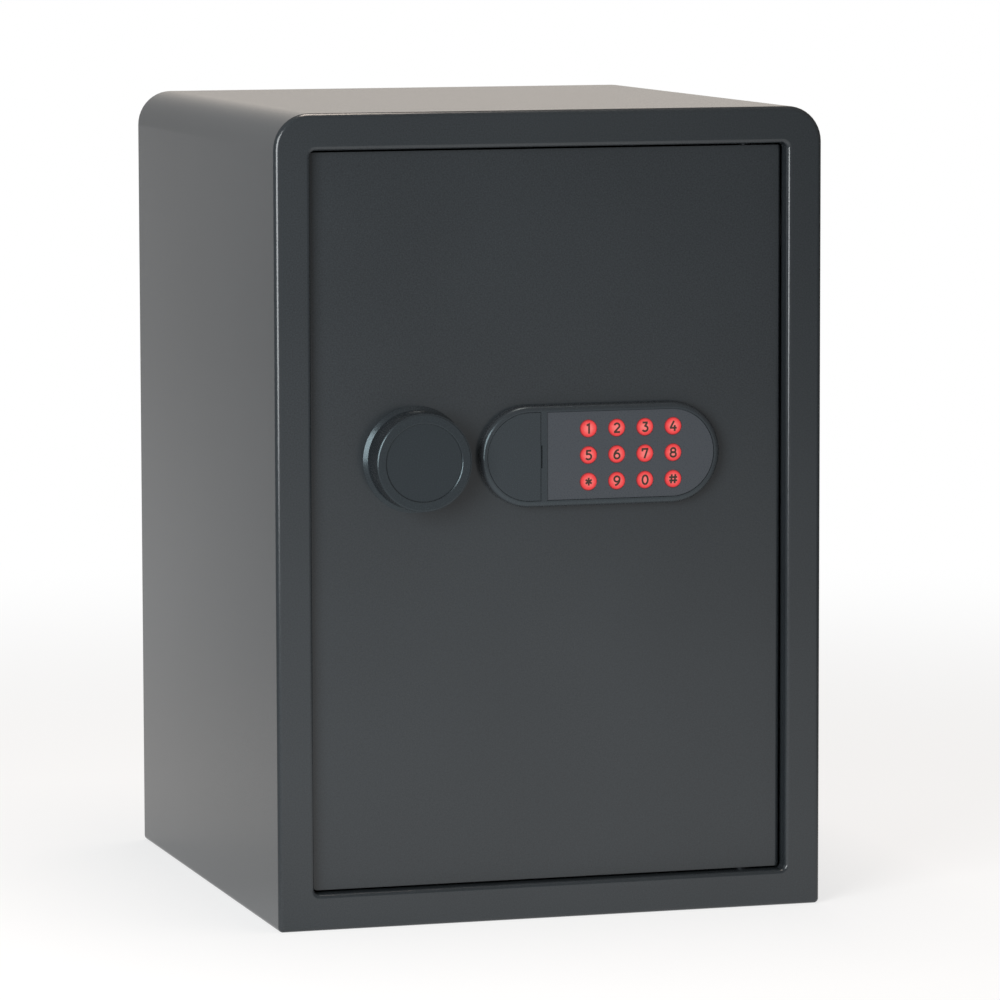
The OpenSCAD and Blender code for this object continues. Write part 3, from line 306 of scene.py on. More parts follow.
@dataclass(frozen=True)
class ZincPlate(Finish):
    """Steel, plated with zinc and passivated.

    The passivation leaves a cold grey with faint straw clouds, about two centimetres wide.
    """

    straw: str = "#c9c2ad"
    cloud_mm: float = 18.0
    spangle_mm: float = 1.2
    gloss: Span = (-0.06, 0.08)

    def detail(self, skin: Skin) -> None:
        """Adds the clouds of colour and the fine spangle in the gloss.

        Args:
            skin: The material.
        """
        cloud = add_node(skin.tree, "ShaderNodeTexNoise", {
            "Vector": skin.place, "Scale": per_mm(self.cloud_mm), "Detail": 3.0})
        skin.blend(self.colour, self.straw, cloud.outputs[0])
        spangle = add_node(skin.tree, "ShaderNodeTexVoronoi", {
            "Vector": skin.place, "Scale": per_mm(self.spangle_mm)})
        skin.polish(self.roughness, spangle.outputs["Distance"], FULL_SPAN, self.gloss)


@dataclass(frozen=True)
class TurnedMetal(Finish):
    """Bright metal, turned on a lathe.

    The tool leaves rings across the axis, so that the highlight runs along the piece as a streak.
    The true feed is about 0.1 mm; it is drawn five times as coarse, to show in the render.
    """

    axis: Axis = Axis.Z
    feed_mm: float = 0.5
    ring_depth_mm: float = 0.0012
    drawn_out: float = 0.02
    tone: Span = (0.88, 1.08)
    gloss: Span = (-0.05, 0.07)

    def detail(self, skin: Skin) -> None:
        """Adds the rings, in the tone, the gloss and the relief.

        Args:
            skin: The material.
        """
        drawn = add_node(skin.tree, "ShaderNodeMapping", {
            "Vector": skin.place, "Scale": self.axis.stretched(1.0, self.drawn_out)})
        rings = add_node(skin.tree, "ShaderNodeTexNoise", {
            "Vector": drawn.outputs[0], "Scale": per_mm(self.feed_mm), "Detail": 3.0})
        skin.shade(self.colour, rings.outputs[0], NOISE_SPAN, self.tone)
        skin.polish(self.roughness, rings.outputs[0], NOISE_SPAN, self.gloss)
        skin.emboss(rings.outputs[0], self.ring_depth_mm)


@dataclass(frozen=True)
class MouldedPlastic(Finish):
    """Plastic, injection moulded against a spark-eroded tool.

    The tool's texture takes the shine off the face and gives it a soft, even satin.
    The true texture is about 0.1 mm; it is drawn six times as coarse, to show in the render.
    """

    grain_mm: float = 0.6
    grain_depth_mm: float = 0.008
    spread: float = 0.04
    tone: Span = (0.92, 1.08)

    def detail(self, skin: Skin) -> None:
        """Adds the tool's texture, in the tone, the gloss and the relief.

        Args:
            skin: The material.
        """
        grain = add_node(skin.tree, "ShaderNodeTexNoise", {
            "Vector": skin.place, "Scale": per_mm(self.grain_mm), "Detail": 3.0,
            "Roughness": 0.65})
        skin.shade(self.colour, grain.outputs[0], NOISE_SPAN, self.tone)
        skin.polish(self.roughness, grain.outputs[0], NOISE_SPAN, (-self.spread, self.spread))
        skin.emboss(grain.outputs[0], self.grain_depth_mm)


@dataclass(frozen=True)
class LitKeyCap(Finish):
    """Translucent silicone, moulded, with a lamp behind it.

    The lamp sits behind the middle, so the key glows palest there and deepens towards its rim.
    """

    core: str = "#eb7f7b"
    rim: str = "#db3639"
    edge: str = "#84262b"
    mottle_mm: float = 1.1
    mottle_share: float = 0.16
    core_to_rim: Span = (0.16, 0.48)
    rim_to_edge: Span = (0.36, 0.43)
    glow: float = 0.85

    def detail(self, skin: Skin) -> None:
        """Adds the glow, by the distance from the middle of the key's own box.

        Args:
            skin: The material.
        """
        own = add_node(skin.tree, "ShaderNodeTexCoord").outputs["Generated"]
        offset = add_node(skin.tree, "ShaderNodeVectorMath", {0: own, 1: (0.5, 0.5, 0.5)},
                          operation="SUBTRACT")
        facing = add_node(skin.tree, "ShaderNodeVectorMath", {0: offset.outputs[0], 1: (1, 0, 1)},
                          operation="MULTIPLY")
        radius = add_node(skin.tree, "ShaderNodeVectorMath", {0: facing.outputs[0]},
                          operation="LENGTH")
        mottle = add_node(skin.tree, "ShaderNodeTexNoise", {
            "Vector": skin.place, "Scale": per_mm(self.mottle_mm), "Detail": 2.0})
        uneven = add_node(skin.tree, "ShaderNodeMath", {
            0: mottle.outputs[0], 1: self.mottle_share, 2: radius.outputs["Value"]},
            operation="MULTIPLY_ADD")
        share = add_node(skin.tree, "ShaderNodeMapRange", {
            "Value": uneven.outputs[0], "From Min": self.core_to_rim[0],
            "From Max": self.core_to_rim[1]}, interpolation_type="SMOOTHSTEP")
        glow = add_node(skin.tree, "ShaderNodeMix", {
            "Factor": share.outputs[0], MIX_A: linear(self.core), MIX_B: linear(self.rim)},
            data_type="RGBA")
        outermost = add_node(skin.tree, "ShaderNodeMapRange", {
            "Value": radius.outputs["Value"], "From Min": self.rim_to_edge[0],
            "From Max": self.rim_to_edge[1]})
        faded = add_node(skin.tree, "ShaderNodeMix", {
            "Factor": outermost.outputs[0], MIX_A: glow.outputs[MIX_COLOUR],
            MIX_B: linear(self.edge)}, data_type="RGBA")
        skin.feed("Emission Color", faded.outputs[MIX_COLOUR])
        skin.shader.inputs["Emission Strength"].default_value = self.glow


@dataclass(frozen=True)
class PrintingInk(Finish):
    """Opaque ink, pad printed on a lit key.

    The layer is thin, so a little of the lamp's red comes through and warms the black.
    """

    lamp: str = "#2b1b0e"
    film_mm: float = 0.9
    through: Span = (0.6, 1.2)
    glow: float = 1.0

    def detail(self, skin: Skin) -> None:
        """Adds the lamp's light through the ink, uneven with its thickness.

        Args:
            skin: The material.
        """
        film = add_node(skin.tree, "ShaderNodeTexNoise", {
            "Vector": skin.place, "Scale": per_mm(self.film_mm), "Detail": 2.0})
        skin.shade(self.lamp, film.outputs[0], NOISE_SPAN, self.through, "Emission Color")
        skin.shader.inputs["Emission Strength"].default_value = self.glow


@dataclass(frozen=True)
class SolderMask(Finish):
    """Glass-epoxy board under a green solder mask.

    The copper tracks under the mask show as paler, slightly raised lines.
    """

    track: str = "#4f8a5c"
    track_mm: float = 2.4
    track_edge: Span = (0.42, 0.46)
    track_depth_mm: float = 0.03

    def detail(self, skin: Skin) -> None:
        """Adds square-cornered tracks as the edges of a blocky cell pattern.

        Args:
            skin: The material.
        """
        cells = add_node(skin.tree, "ShaderNodeTexVoronoi", {
            "Vector": skin.place, "Scale": per_mm(self.track_mm), "Randomness": 0.7},
            distance="CHEBYCHEV", feature="F1")
        edge = add_node(skin.tree, "ShaderNodeMapRange", {
            "Value": cells.outputs["Distance"], "From Min": self.track_edge[0],
            "From Max": self.track_edge[1]})
        skin.blend(self.colour, self.track, edge.outputs[0])
        skin.emboss(edge.outputs[0], self.track_depth_mm)


@dataclass(frozen=True)
class CopperWinding(Finish):
    """Enamelled copper wire, layer wound about Z.

    Each turn is a rib with a painted highlight along it and painted shade in the groove beside
    it. The wire is 0.3 mm thick; a turn is drawn twice as wide, to show in the render.
    """

    turn_mm: float = 0.6
    turn_depth_mm: float = 0.12
    tone: Span = (0.35, 1.1)

    def detail(self, skin: Skin) -> None:
        """Adds the turns, with painted highlight on the ribs and painted shade in the grooves.

        Args:
            skin: The material.
        """
        turns = add_node(skin.tree, "ShaderNodeTexWave", {
            "Vector": skin.place, "Scale": per_mm(self.turn_mm) / (2 * math.pi),
            "Distortion": 0.3, "Detail": 1.0}, wave_type="BANDS", bands_direction="Z")
        # The bands paint shade into each groove and a highlight onto each rib
        skin.shade(self.colour, turns.outputs[0], FULL_SPAN, self.tone)
        skin.emboss(turns.outputs[0], self.turn_depth_mm)


@dataclass(frozen=True)
class CellSleeve(Finish):
    """Battery cells in a shrunk plastic sleeve, their steel ends bare.

    The sleeve is smooth and glossy; the faces square to the cell's length are nickel plated.
    """

    cap: str = "#b9b8b2"
    end_facing: float = 0.8

    def detail(self, skin: Skin) -> None:
        """Adds the steel ends, told from the sleeve by the way that they face.

        Args:
            skin: The material.
        """
        facing = add_node(skin.tree, "ShaderNodeSeparateXYZ", {
            0: add_node(skin.tree, "ShaderNodeTexCoord").outputs["Normal"]})
        size = add_node(skin.tree, "ShaderNodeMath", {0: facing.outputs[0]},
                        operation="ABSOLUTE")
        is_end = add_node(skin.tree, "ShaderNodeMath", {0: size.outputs[0], 1: self.end_facing},
                          operation="GREATER_THAN")
        skin.blend(self.colour, self.cap, is_end.outputs[0])
        skin.feed("Metallic", is_end.outputs[0])


@dataclass(frozen=True)
class NeedleFelt(Finish):
    """Polyester fibre, needled into a flat felt.

    Pale and dark fibres lie every way, so the face is matt, flecked and a little fuzzy.
    The fibres are drawn 0.8 mm wide, many times their size, to show in the render.
    """

    pale: str = "#5d5e60"
    fibre_mm: float = 0.8
    lump_mm: float = 6.0
    pile_mm: float = 0.35
    fleck_span: Span = (0.35, 0.65)
    fuzz: float = 0.25
    fuzz_roughness: float = 0.6

    def detail(self, skin: Skin) -> None:
        """Adds the fibres, the lumps that the needles leave, and the fuzz.

        Args:
            skin: The material.
        """
        fibres = add_node(skin.tree, "ShaderNodeTexNoise", {
            "Vector": skin.place, "Scale": per_mm(self.fibre_mm), "Detail": 4.0,
            "Roughness": 0.7, "Distortion": 1.5})
        lumps = add_node(skin.tree, "ShaderNodeTexNoise", {
            "Vector": skin.place, "Scale": per_mm(self.lump_mm), "Detail": 2.0})
        height = add_node(skin.tree, "ShaderNodeMath", {
            0: fibres.outputs[0], 1: lumps.outputs[0]})
        fleck = add_node(skin.tree, "ShaderNodeMapRange", {
            "Value": fibres.outputs[0], "From Min": self.fleck_span[0],
            "From Max": self.fleck_span[1]})
        skin.blend(self.colour, self.pale, fleck.outputs[0])
        skin.emboss(height.outputs[0], self.pile_mm)
        skin.shader.inputs["Sheen Weight"].default_value = self.fuzz
        skin.shader.inputs["Sheen Roughness"].default_value = self.fuzz_roughness


COAT = PowderCoat("powder_coated_steel_charcoal", "#2a2e31", 0.2)
INNER_COAT = PowderCoat("powder_coated_steel_black", "#26282b", 0.42)
ZINC = ZincPlate("zinc_plated_steel_passivated", "#bcc0c2", 0.34, metallic=1.0)
STEEL_X = TurnedMetal("bright_steel_turned_across", "#a9abad", 0.26, metallic=1.0, axis=Axis.X)
STEEL_Y = TurnedMetal("bright_steel_turned_deep", "#a9abad", 0.26, metallic=1.0, axis=Axis.Y)
STEEL_Z = TurnedMetal("bright_steel_turned_upright", "#a9abad", 0.26, metallic=1.0)
BLACK_STEEL_X = TurnedMetal("black_oxide_steel_turned_across", "#232426", 0.42, metallic=1.0,
                            axis=Axis.X)
BLACK_STEEL_Z = TurnedMetal("black_oxide_steel_turned_upright", "#232426", 0.42, metallic=1.0)
BRASS_X = TurnedMetal("brass_turned_across", "#c6a662", 0.28, metallic=1.0, axis=Axis.X)
BRASS_Y = TurnedMetal("brass_turned_deep", "#c6a662", 0.28, metallic=1.0, axis=Axis.Y)
ABS_CHARCOAL = MouldedPlastic("abs_moulded_charcoal", "#2e3134", 0.26, shine="#d6edf5")
ABS_SLATE = MouldedPlastic("abs_moulded_slate", "#24272a", 0.26, shine="#d6edf5")
ABS_BLACK = MouldedPlastic("abs_moulded_black", "#1b1c1e", 0.48)
ABS_RED = MouldedPlastic("abs_moulded_red", "#b0302b", 0.35, spread=0.02)
PANEL_FILM = MouldedPlastic("polycarbonate_film_grey", "#3b3f44", 0.28, grain_depth_mm=0.003,
                            spread=0.02)
KEY_GLOW = LitKeyCap("silicone_key_lit_red", "#7a1c1c", 0.45, ior=1.41)
KEY_INK = PrintingInk("ink_pad_printed_black", "#241a14", 0.6)
SILICONE = MouldedPlastic("silicone_moulded_milky", "#cdccc6", 0.55, ior=1.41, spread=0.02)
BOARD = SolderMask("glass_epoxy_board_green", "#27583a", 0.32)
WINDING = CopperWinding("copper_wire_wound", "#8c4a26", 0.3)
CELLS = CellSleeve("battery_cell_sleeved", "#2f3a36", 0.25)
SHEATH = MouldedPlastic("pvc_sheath_extruded_red", "#8a2f2b", 0.4, grain_depth_mm=0.002)
FELT = NeedleFelt("polyester_felt_needled", "#3b3c3e", 0.95)


def dress(finish: Finish, *nodes: str, edge_mm: float = 0.0) -> None:
    """Gives CAD nodes their finish, and rounds their sharp edges a little.

    Args:
        finish: What their surface is.
        *nodes: Names of the nodes.
        edge_mm: Width of the rounding along the edges; none at 0.
    """
    for node in nodes:
        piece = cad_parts[node]
        for slot in piece.material_slots:
            slot.material = finish.material()
        if edge_mm:
            weld = piece.modifiers.new("joined", "WELD")
            weld.merge_threshold = JOIN_MM * MM
            edge = piece.modifiers.new("edge", "BEVEL")
            edge.width = edge_mm * MM
            edge.segments = EDGE_STEPS
            edge.limit_method = "ANGLE"
            edge.angle_limit = math.radians(CORNER_DEG)
            edge.harden_normals = True
        LOG.info("%s: %s", node, finish.name)


def flat_mesh(name: str, outlines: list[list[Point]], inner: list[Point],
              lift: Callable[[Vector], Place], keep: Callable[[Vector], bool]) -> bpy.types.Object:
    """Makes one triangle mesh of overlapping flat outlines, and puts it in place.

    Args:
        name: Name of the new object.
        outlines: Closed outlines, whose overlaps are merged.
        inner: Loose points that the mesh also has.
        lift: Gives the place of a flat point.
        keep: Tells of a triangle's middle whether the triangle stays.

    Returns:
        The object, in the scene.
    """
    points = [Vector(p) for outline in outlines for p in outline]
    faces, count = [], 0
    for outline in outlines:
        faces.append(list(range(count, count + len(outline))))
        count += len(outline)
    points += [Vector(p) for p in inner]
    verts, _, tris, _, _, sources = delaunay_2d_cdt(points, [], faces, INSIDE_ONLY, SAME_POINT)
    kept = []
    for tri, source in zip(tris, sources):
        centre = sum((verts[i] for i in tri), Vector((0, 0))) / len(tri)
        if source and keep(centre):
            kept.append(tri)
    used = sorted({i for tri in kept for i in tri})
    place = {old: new for new, old in enumerate(used)}
    mesh = bpy.data.meshes.new(name)
    mesh.from_pydata([lift(verts[i]) for i in used], [], [[place[i] for i in t] for t in kept])
    mesh.validate()
    made = bpy.data.objects.new(name, mesh)
    bpy.context.scene.collection.objects.link(made)
    return made


@dataclass(frozen=True)
class Line:
    """Straight stretch of a pen stroke, in shares of the sign's half width and half height."""

    start: Point
    end: Point

    def points(self) -> list[Point]:
        """Gives the two ends."""
        return [self.start, self.end]


@dataclass(frozen=True)
class Arc:
    """Round stretch of a pen stroke, in the same shares, from one angle in degrees to another."""

    centre: Point
    radii: Point
    begin: float
    finish: float

    def points(self) -> list[Point]:
        """Gives points along the arc.

        Returns:
            The points, its two ends among them.
        """
        steps = max(ARC_STEPS_LEAST, round(abs(self.finish - self.begin) / ARC_STEP_DEG))
        turn = [math.radians(self.begin + (self.finish - self.begin) * i / steps)
                for i in range(steps + 1)]
        return [(self.centre[0] + self.radii[0] * math.cos(a),
                 self.centre[1] + self.radii[1] * math.sin(a)) for a in turn]


Stroke = list[Line | Arc]


@dataclass(frozen=True)
class Sign:
    """A numeral or mark: its strokes, and half of its width and height in millimetres."""

    strokes: list[Stroke]
    half: Point = (1.75, 2.7)

    def turned(self) -> "Sign":
        """Turns the sign upside down.

        Returns:
            The turned sign.
        """
        def flip(part: Line | Arc) -> Line | Arc:
            """Gives the stretch on the other side of the middle."""
            if isinstance(part, Line):
                return Line(tuple(-c for c in part.start), tuple(-c for c in part.end))
            return Arc(tuple(-c for c in part.centre), part.radii, part.begin + 180,
                       part.finish + 180)
        return Sign([[flip(part) for part in stroke] for stroke in self.strokes], self.half)

    def outlines(self, pen: float) -> list[list[Point]]:
        """Draws every stroke with a pen of even width.

        Args:
            pen: Width of the pen, in millimetres.

        Returns:
            One closed outline for each stroke, in millimetres.
        """
        return [ribbon([(x * self.half[0], y * self.half[1])
                        for part in stroke for x, y in part.points()], pen)
                for stroke in self.strokes]


def ribbon(path: list[Point], width: float) -> list[Point]:
    """Gives the closed outline of a stroke of even width along a path.

    Args:
        path: Points along the middle of the stroke.
        width: Width of the stroke.

    Returns:
        The outline's points, counter-clockwise: up the right side and down the left.
    """
    line = [Vector(path[0])]
    for p in path[1:]:
        if (Vector(p) - line[-1]).length > PEN_STEP:
            line.append(Vector(p))
    left, right = [], []
    for i, point in enumerate(line):
        before = (point - line[i - 1]).normalized() if i else None
        after = (line[i + 1] - point).normalized() if i < len(line) - 1 else None
        mean = ((before or after) + (after or before)).normalized()
        stretch = 1 / max(SHARPEST, mean.dot(before or after))
        side = Vector((-mean.y, mean.x)) * width / 2 * stretch
        left.append(tuple(point + side))
        right.append(tuple(point - side))
    return right + left[::-1]


SIX = Sign([
    [Arc((0, -0.38), (1, 0.62), 0, 180)],
    [Arc((0, -0.38), (1, 0.62), 180, 360)],
    [Arc((0.8, -0.38), (1.8, 1.38), 92, 180)]])
SIGNS = {
    "0": Sign([[Arc((0, 0), (1, 1), 90, 270)], [Arc((0, 0), (1, 1), -90, 90)]]),
    "1": Sign([[Line((-0.75, 0.72), (0.15, 1.0)), Line((0.15, 1.0), (0.15, -1.18))]]),
    "2": Sign([
        [Arc((0, 0.4), (0.93, 0.6), 165, -22), Line((0.86, 0.17), (-0.85, -0.95))],
        [Line((-1.1, -1), (1.15, -1))]]),
    "3": Sign([
        [Line((-0.95, 1), (0.95, 1))],
        [Line((0.78, 0.96), (-0.12, 0.14))],
        [Line((-0.3, 0.2), (-0.05, 0.2)), Arc((-0.05, -0.4), (1.0, 0.6), 90, -150)]]),
    "4": Sign([
        [Line((0.3, 1.15), (-1.05, -0.4))],
        [Line((-1.25, -0.42), (1.3, -0.42))],
        [Line((0.55, 0.2), (0.55, -1.18))]]),
    "5": Sign([
        [Line((0.95, 1), (-0.9, 1))],
        [Line((-0.62, 1.05), (-0.72, 0.1))],
        [Line((-0.95, 0.17), (-0.15, 0.26)), Arc((-0.1, -0.36), (1.05, 0.62), 90, -148)]]),
    "6": SIX,
    "7": Sign([
        [Line((-1.0, 0.45), (-1.0, 1.12))],
        [Line((-1.2, 1), (1.2, 1))],
        [Line((0.9, 1.0), (-0.25, -1.15))]]),
    "8": Sign([
        [Arc((0, 0.5), (0.85, 0.5), 0, 180)],
        [Arc((0, 0.5), (0.85, 0.5), 180, 360)],
        [Arc((0, -0.46), (1.02, 0.54), 0, 180)],
        [Arc((0, -0.46), (1.02, 0.54), 180, 360)]]),
    "9": SIX.turned(),
    "star": Sign([[Line((-math.cos(a), -math.sin(a)), (math.cos(a), math.sin(a)))]
                  for a in (math.radians(d) for d in (30, 90, 150))], (2.3, 2.4)),
    "hash": Sign([
        [Line((-0.55, -1), (-0.33, 1))],
        [Line((0.33, -1), (0.55, 1))],
        [Line((-1, -0.36), (1, -0.36))],
        [Line((-1, 0.36), (1, 0.36))]], (2.6, 2.8)),
}


@dataclass
class FeltMat:
    """The felt on the safe's floor, cut round the four anchor holes.

    Attributes:
        cell: Distance between the points of its face.
        lump: Height of its lumps.
        lump_spacing: Distance between them.
        corner: Radius of its corners.
        hole_radius: Radius of its holes.
        hole_across: Distance of a hole from the middle, across.
        hole_deep: The same, front to back.
        turn_deg: Angle between the points round a corner or a hole.
        hole_slack: Share of a hole's radius within which nothing is kept.
    """

    cell: float = 5 * MM
    lump: float = 0.3 * MM
    lump_spacing: float = 35 * MM
    corner: float = 4 * MM
    hole_radius: float = 8 * MM
    hole_across: float = 110 * MM
    hole_deep: float = 100 * MM
    turn_deg: int = 15
    hole_slack: float = 0.97

    def holes(self) -> list[Vector]:
        """Gives the middles of the four holes."""
        return [Vector((sx * self.hole_across, sy * self.hole_deep))
                for sx in (-1, 1) for sy in (-1, 1)]

    def clears_holes(self, point: Vector, distance: float) -> bool:
        """Tells whether a point is farther than a distance from the middle of every hole."""
        return all((point - hole).length > distance for hole in self.holes())

    def around(self, centre: Vector, radius: float, start: int, count: int) -> list[Point]:
        """Gives points round a centre, counter-clockwise.

        Args:
            centre: The centre.
            radius: Their distance from it.
            start: Angle of the first, in degrees.
            count: How many there are.

        Returns:
            The points.
        """
        angles = [math.radians(start + self.turn_deg * i) for i in range(count)]
        return [tuple(centre + radius * Vector((math.cos(a), math.sin(a)))) for a in angles]

    def outline(self, low: Vector, high: Vector) -> list[Point]:
        """Gives the mat's outline with its rounded corners, counter-clockwise.

        Args:
            low: Lowest corner of its box.
            high: Highest corner.

        Returns:
            The outline's points.
        """
        inset = Vector((self.corner, self.corner))
        first, last = low.xy + inset, high.xy - inset
        centres = [(last.x, last.y, 0), (first.x, last.y, 90), (first.x, first.y, 180),
                   (last.x, first.y, 270)]
        return [p for x, y, start in centres
                for p in self.around(Vector((x, y)), self.corner, start,
                                     90 // self.turn_deg + 1)]

    def build(self) -> bpy.types.Object:
        """Cuts the felt and lays it on the floor.

        Returns:
            The mat.
        """
        low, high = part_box("floor_mat")
        rings = [p for hole in self.holes()
                 for p in self.around(hole, self.hole_radius, 0, 360 // self.turn_deg)]
        across, deep = (int((high - low)[i] / self.cell) for i in (0, 1))
        grid = [(low.x + self.cell * (i + 0.5), low.y + self.cell * (j + 0.5))
                for i in range(across) for j in range(deep)]
        grid = [p for p in grid
                if self.clears_holes(Vector(p), self.hole_radius + self.cell / 2)]

        def lift(p: Vector) -> Place:
            """Gives a point its height, on a lump or between lumps."""
            swell = noise.noise(Vector((p.x, p.y, 0)) / self.lump_spacing)
            return p.x, p.y, high.z - self.lump * (0.5 + 0.5 * swell)

        def keep(p: Vector) -> bool:
            """Tells whether a triangle's middle lies outside the holes."""
            return self.clears_holes(p, self.hole_radius * self.hole_slack)

        mat = flat_mesh("felt_floor_mat", [self.outline(low, high)], rings + grid, lift, keep)
        body = mat.modifiers.new("thickness", "SOLIDIFY")
        body.thickness = high.z - low.z - self.lump
        body.offset = -1
        mat.data.materials.append(FELT.material())
        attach(mat, "cabinet")
        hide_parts("floor_mat")
        width, length = (high - low).x, (high - low).y
        LOG.info("%s: %.1f by %.1f mm", mat.name, width / MM, length / MM)
        return mat


@dataclass
class Cabinet:
    """Folded sheet, front frame and back plate, with what is fixed inside them."""

    sheet_edge_mm: float = 0.3
    fitting_edge_mm: float = 0.5
    mat: FeltMat = field(default_factory=FeltMat)

    def build(self) -> None:
        """Dresses the cabinet's pieces and lays the mat."""
        dress(COAT, "body_wrap", "front_frame", "back_plate")
        dress(COAT, "door_stops", "hinge_lugs", edge_mm=self.fitting_edge_mm)
        dress(INNER_COAT, "shelf", "shelf_brackets", edge_mm=self.sheet_edge_mm)
        dress(BLACK_STEEL_Z, "hinge_washer")
        self.mat.build()


@dataclass
class Door:
    """Door plate, the housing behind it, and the hinge blocks, pins and bushes."""

    plate_edge_mm: float = 0.6
    sheet_edge_mm: float = 0.3

    def build(self) -> None:
        """Dresses the door's pieces."""
        dress(COAT, "door_plate", edge_mm=self.plate_edge_mm)
        dress(INNER_COAT, "door_pan", edge_mm=self.sheet_edge_mm)
        dress(INNER_COAT, "door_back_cover")
        dress(INNER_COAT, "hinge_blocks", edge_mm=self.plate_edge_mm)
        dress(BLACK_STEEL_Z, "hinge_pins", edge_mm=self.sheet_edge_mm)
        dress(ZINC, "cover_screws")
        dress(BRASS_X, "bolt_bushes")
        dress(BRASS_Y, "knob_bushing")


@dataclass
class BoltWork:
    """The bar that carries the three bolts, and the screws that hold them."""

    bar_edge_mm: float = 0.3

    def build(self) -> None:
        """Dresses the bolt work."""
        dress(ZINC, "bolt_bar", edge_mm=self.bar_edge_mm)
        dress(STEEL_X, "locking_bolts")
        dress(BLACK_STEEL_X, "bolt_screws")


@dataclass
class Knob:
    """Moulded knob with its face disc, and the shaft, disc and pin that it turns."""

    face_edge_mm: float = 0.3

    def build(self) -> None:
        """Dresses the knob and what turns with it."""
        dress(ABS_SLATE, "knob_grip")
        dress(ABS_SLATE, "knob_face", edge_mm=self.face_edge_mm)
        dress(STEEL_Y, "knob_shaft", "crank_pin")
        dress(ZINC, "cam_disc")


@dataclass
class Keypad:
    """Housing, key panel, board and mat, with twelve lit keys and the cover beside them."""

    pen_mm: float = 1.2
    ink_mm: float = 0.04
    cover_edge_mm: float = 0.4
    panel_edge_mm: float = 0.2

    def build(self) -> None:
        """Dresses the keypad's pieces and prints the keys."""
        dress(ABS_CHARCOAL, "keypad_housing")
        dress(ABS_CHARCOAL, "override_cover", edge_mm=self.cover_edge_mm)
        dress(PANEL_FILM, "key_panel", edge_mm=self.panel_edge_mm)
        dress(BOARD, "keypad_board")
        dress(SILICONE, "key_mat")
        dress(ZINC, "keypad_screws")
        for name, sign in SIGNS.items():
            dress(KEY_GLOW, f"key_{name}")
            self.print_sign(name, sign)

    def print_sign(self, name: str, sign: Sign) -> bpy.types.Object:
        """Prints one sign on the front of its key.

        Args:
            name: The key's name, after "key_".
            sign: What is printed.

        Returns:
            The printed sign.
        """
        low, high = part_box(f"key_{name}")
        centre = (low + high) / 2
        outlines = [[(x * MM, y * MM) for x, y in outline]
                    for outline in sign.outlines(self.pen_mm)]
        made = flat_mesh(f"sign_{name}", outlines, [],
                         lambda p: (centre.x + p.x, low.y, centre.z + p.y), lambda p: True)
        film = made.modifiers.new("film", "SOLIDIFY")
        film.thickness = self.ink_mm * MM
        film.offset = 1
        made.data.materials.append(KEY_INK.material())
        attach(made, f"key_{name}")
        LOG.info("%s: %d triangles", made.name, len(made.data.polygons))
        return made


@dataclass
class OverrideLock:
    """Cylinder lock under the half-round cover, with its nut and cam."""

    def build(self) -> None:
        """Dresses the lock's pieces."""
        dress(ZINC, "override_lock_body", "override_lock_nut", "override_cam")
        dress(BRASS_Y, "override_lock_plug")


@dataclass
class Solenoid:
    """Pull solenoid that frees the bolt bar."""

    def build(self) -> None:
        """Dresses the solenoid's pieces."""
        dress(ZINC, "solenoid_frame")
        dress(WINDING, "solenoid_coil")
        dress(STEEL_Z, "solenoid_plunger", "plunger_spring")


@dataclass
class Electronics:
    """Battery box, control board, reset button and the three leads."""

    hatch_edge_mm: float = 0.3

    def build(self) -> None:
        """Dresses the electronics."""
        dress(ABS_BLACK, "battery_box")
        dress(CELLS, "battery_cells")
        dress(ZINC, "battery_contacts")
        dress(ABS_BLACK, "battery_cover", edge_mm=self.hatch_edge_mm)
        dress(BOARD, "control_board")
        dress(ABS_RED, "reset_button", edge_mm=self.hatch_edge_mm)
        dress(SHEATH, "keypad_lead", "solenoid_lead", "battery_lead")


@dataclass(frozen=True)
class Softbox:
    """A soft lamp: where it stands, what it faces, its size and how bright its face is."""

    name: str
    place: Place
    target: Place
    width: float
    height: float
    brightness: float
    colour: str

    def build(self) -> None:
        """Puts up the lamp."""
        lamp = bpy.data.lights.new(self.name, "AREA")
        lamp.shape = "RECTANGLE"
        lamp.size = self.width
        lamp.size_y = self.height
        # A flat lamp of this many watts has a face of the stated brightness, where 1 is white
        lamp.energy = self.brightness * math.pi * self.width * self.height
        lamp.color = linear(self.colour)[:3]
        stand = bpy.data.objects.new(self.name, lamp)
        stand.location = self.place
        away = Vector(self.place) - Vector(self.target)
        stand.rotation_euler = away.to_track_quat("Z", "Y").to_euler()
        stand.visible_camera = False
        bpy.context.scene.collection.objects.link(stand)
        LOG.info("%s: %.0f W", self.name, lamp.energy)


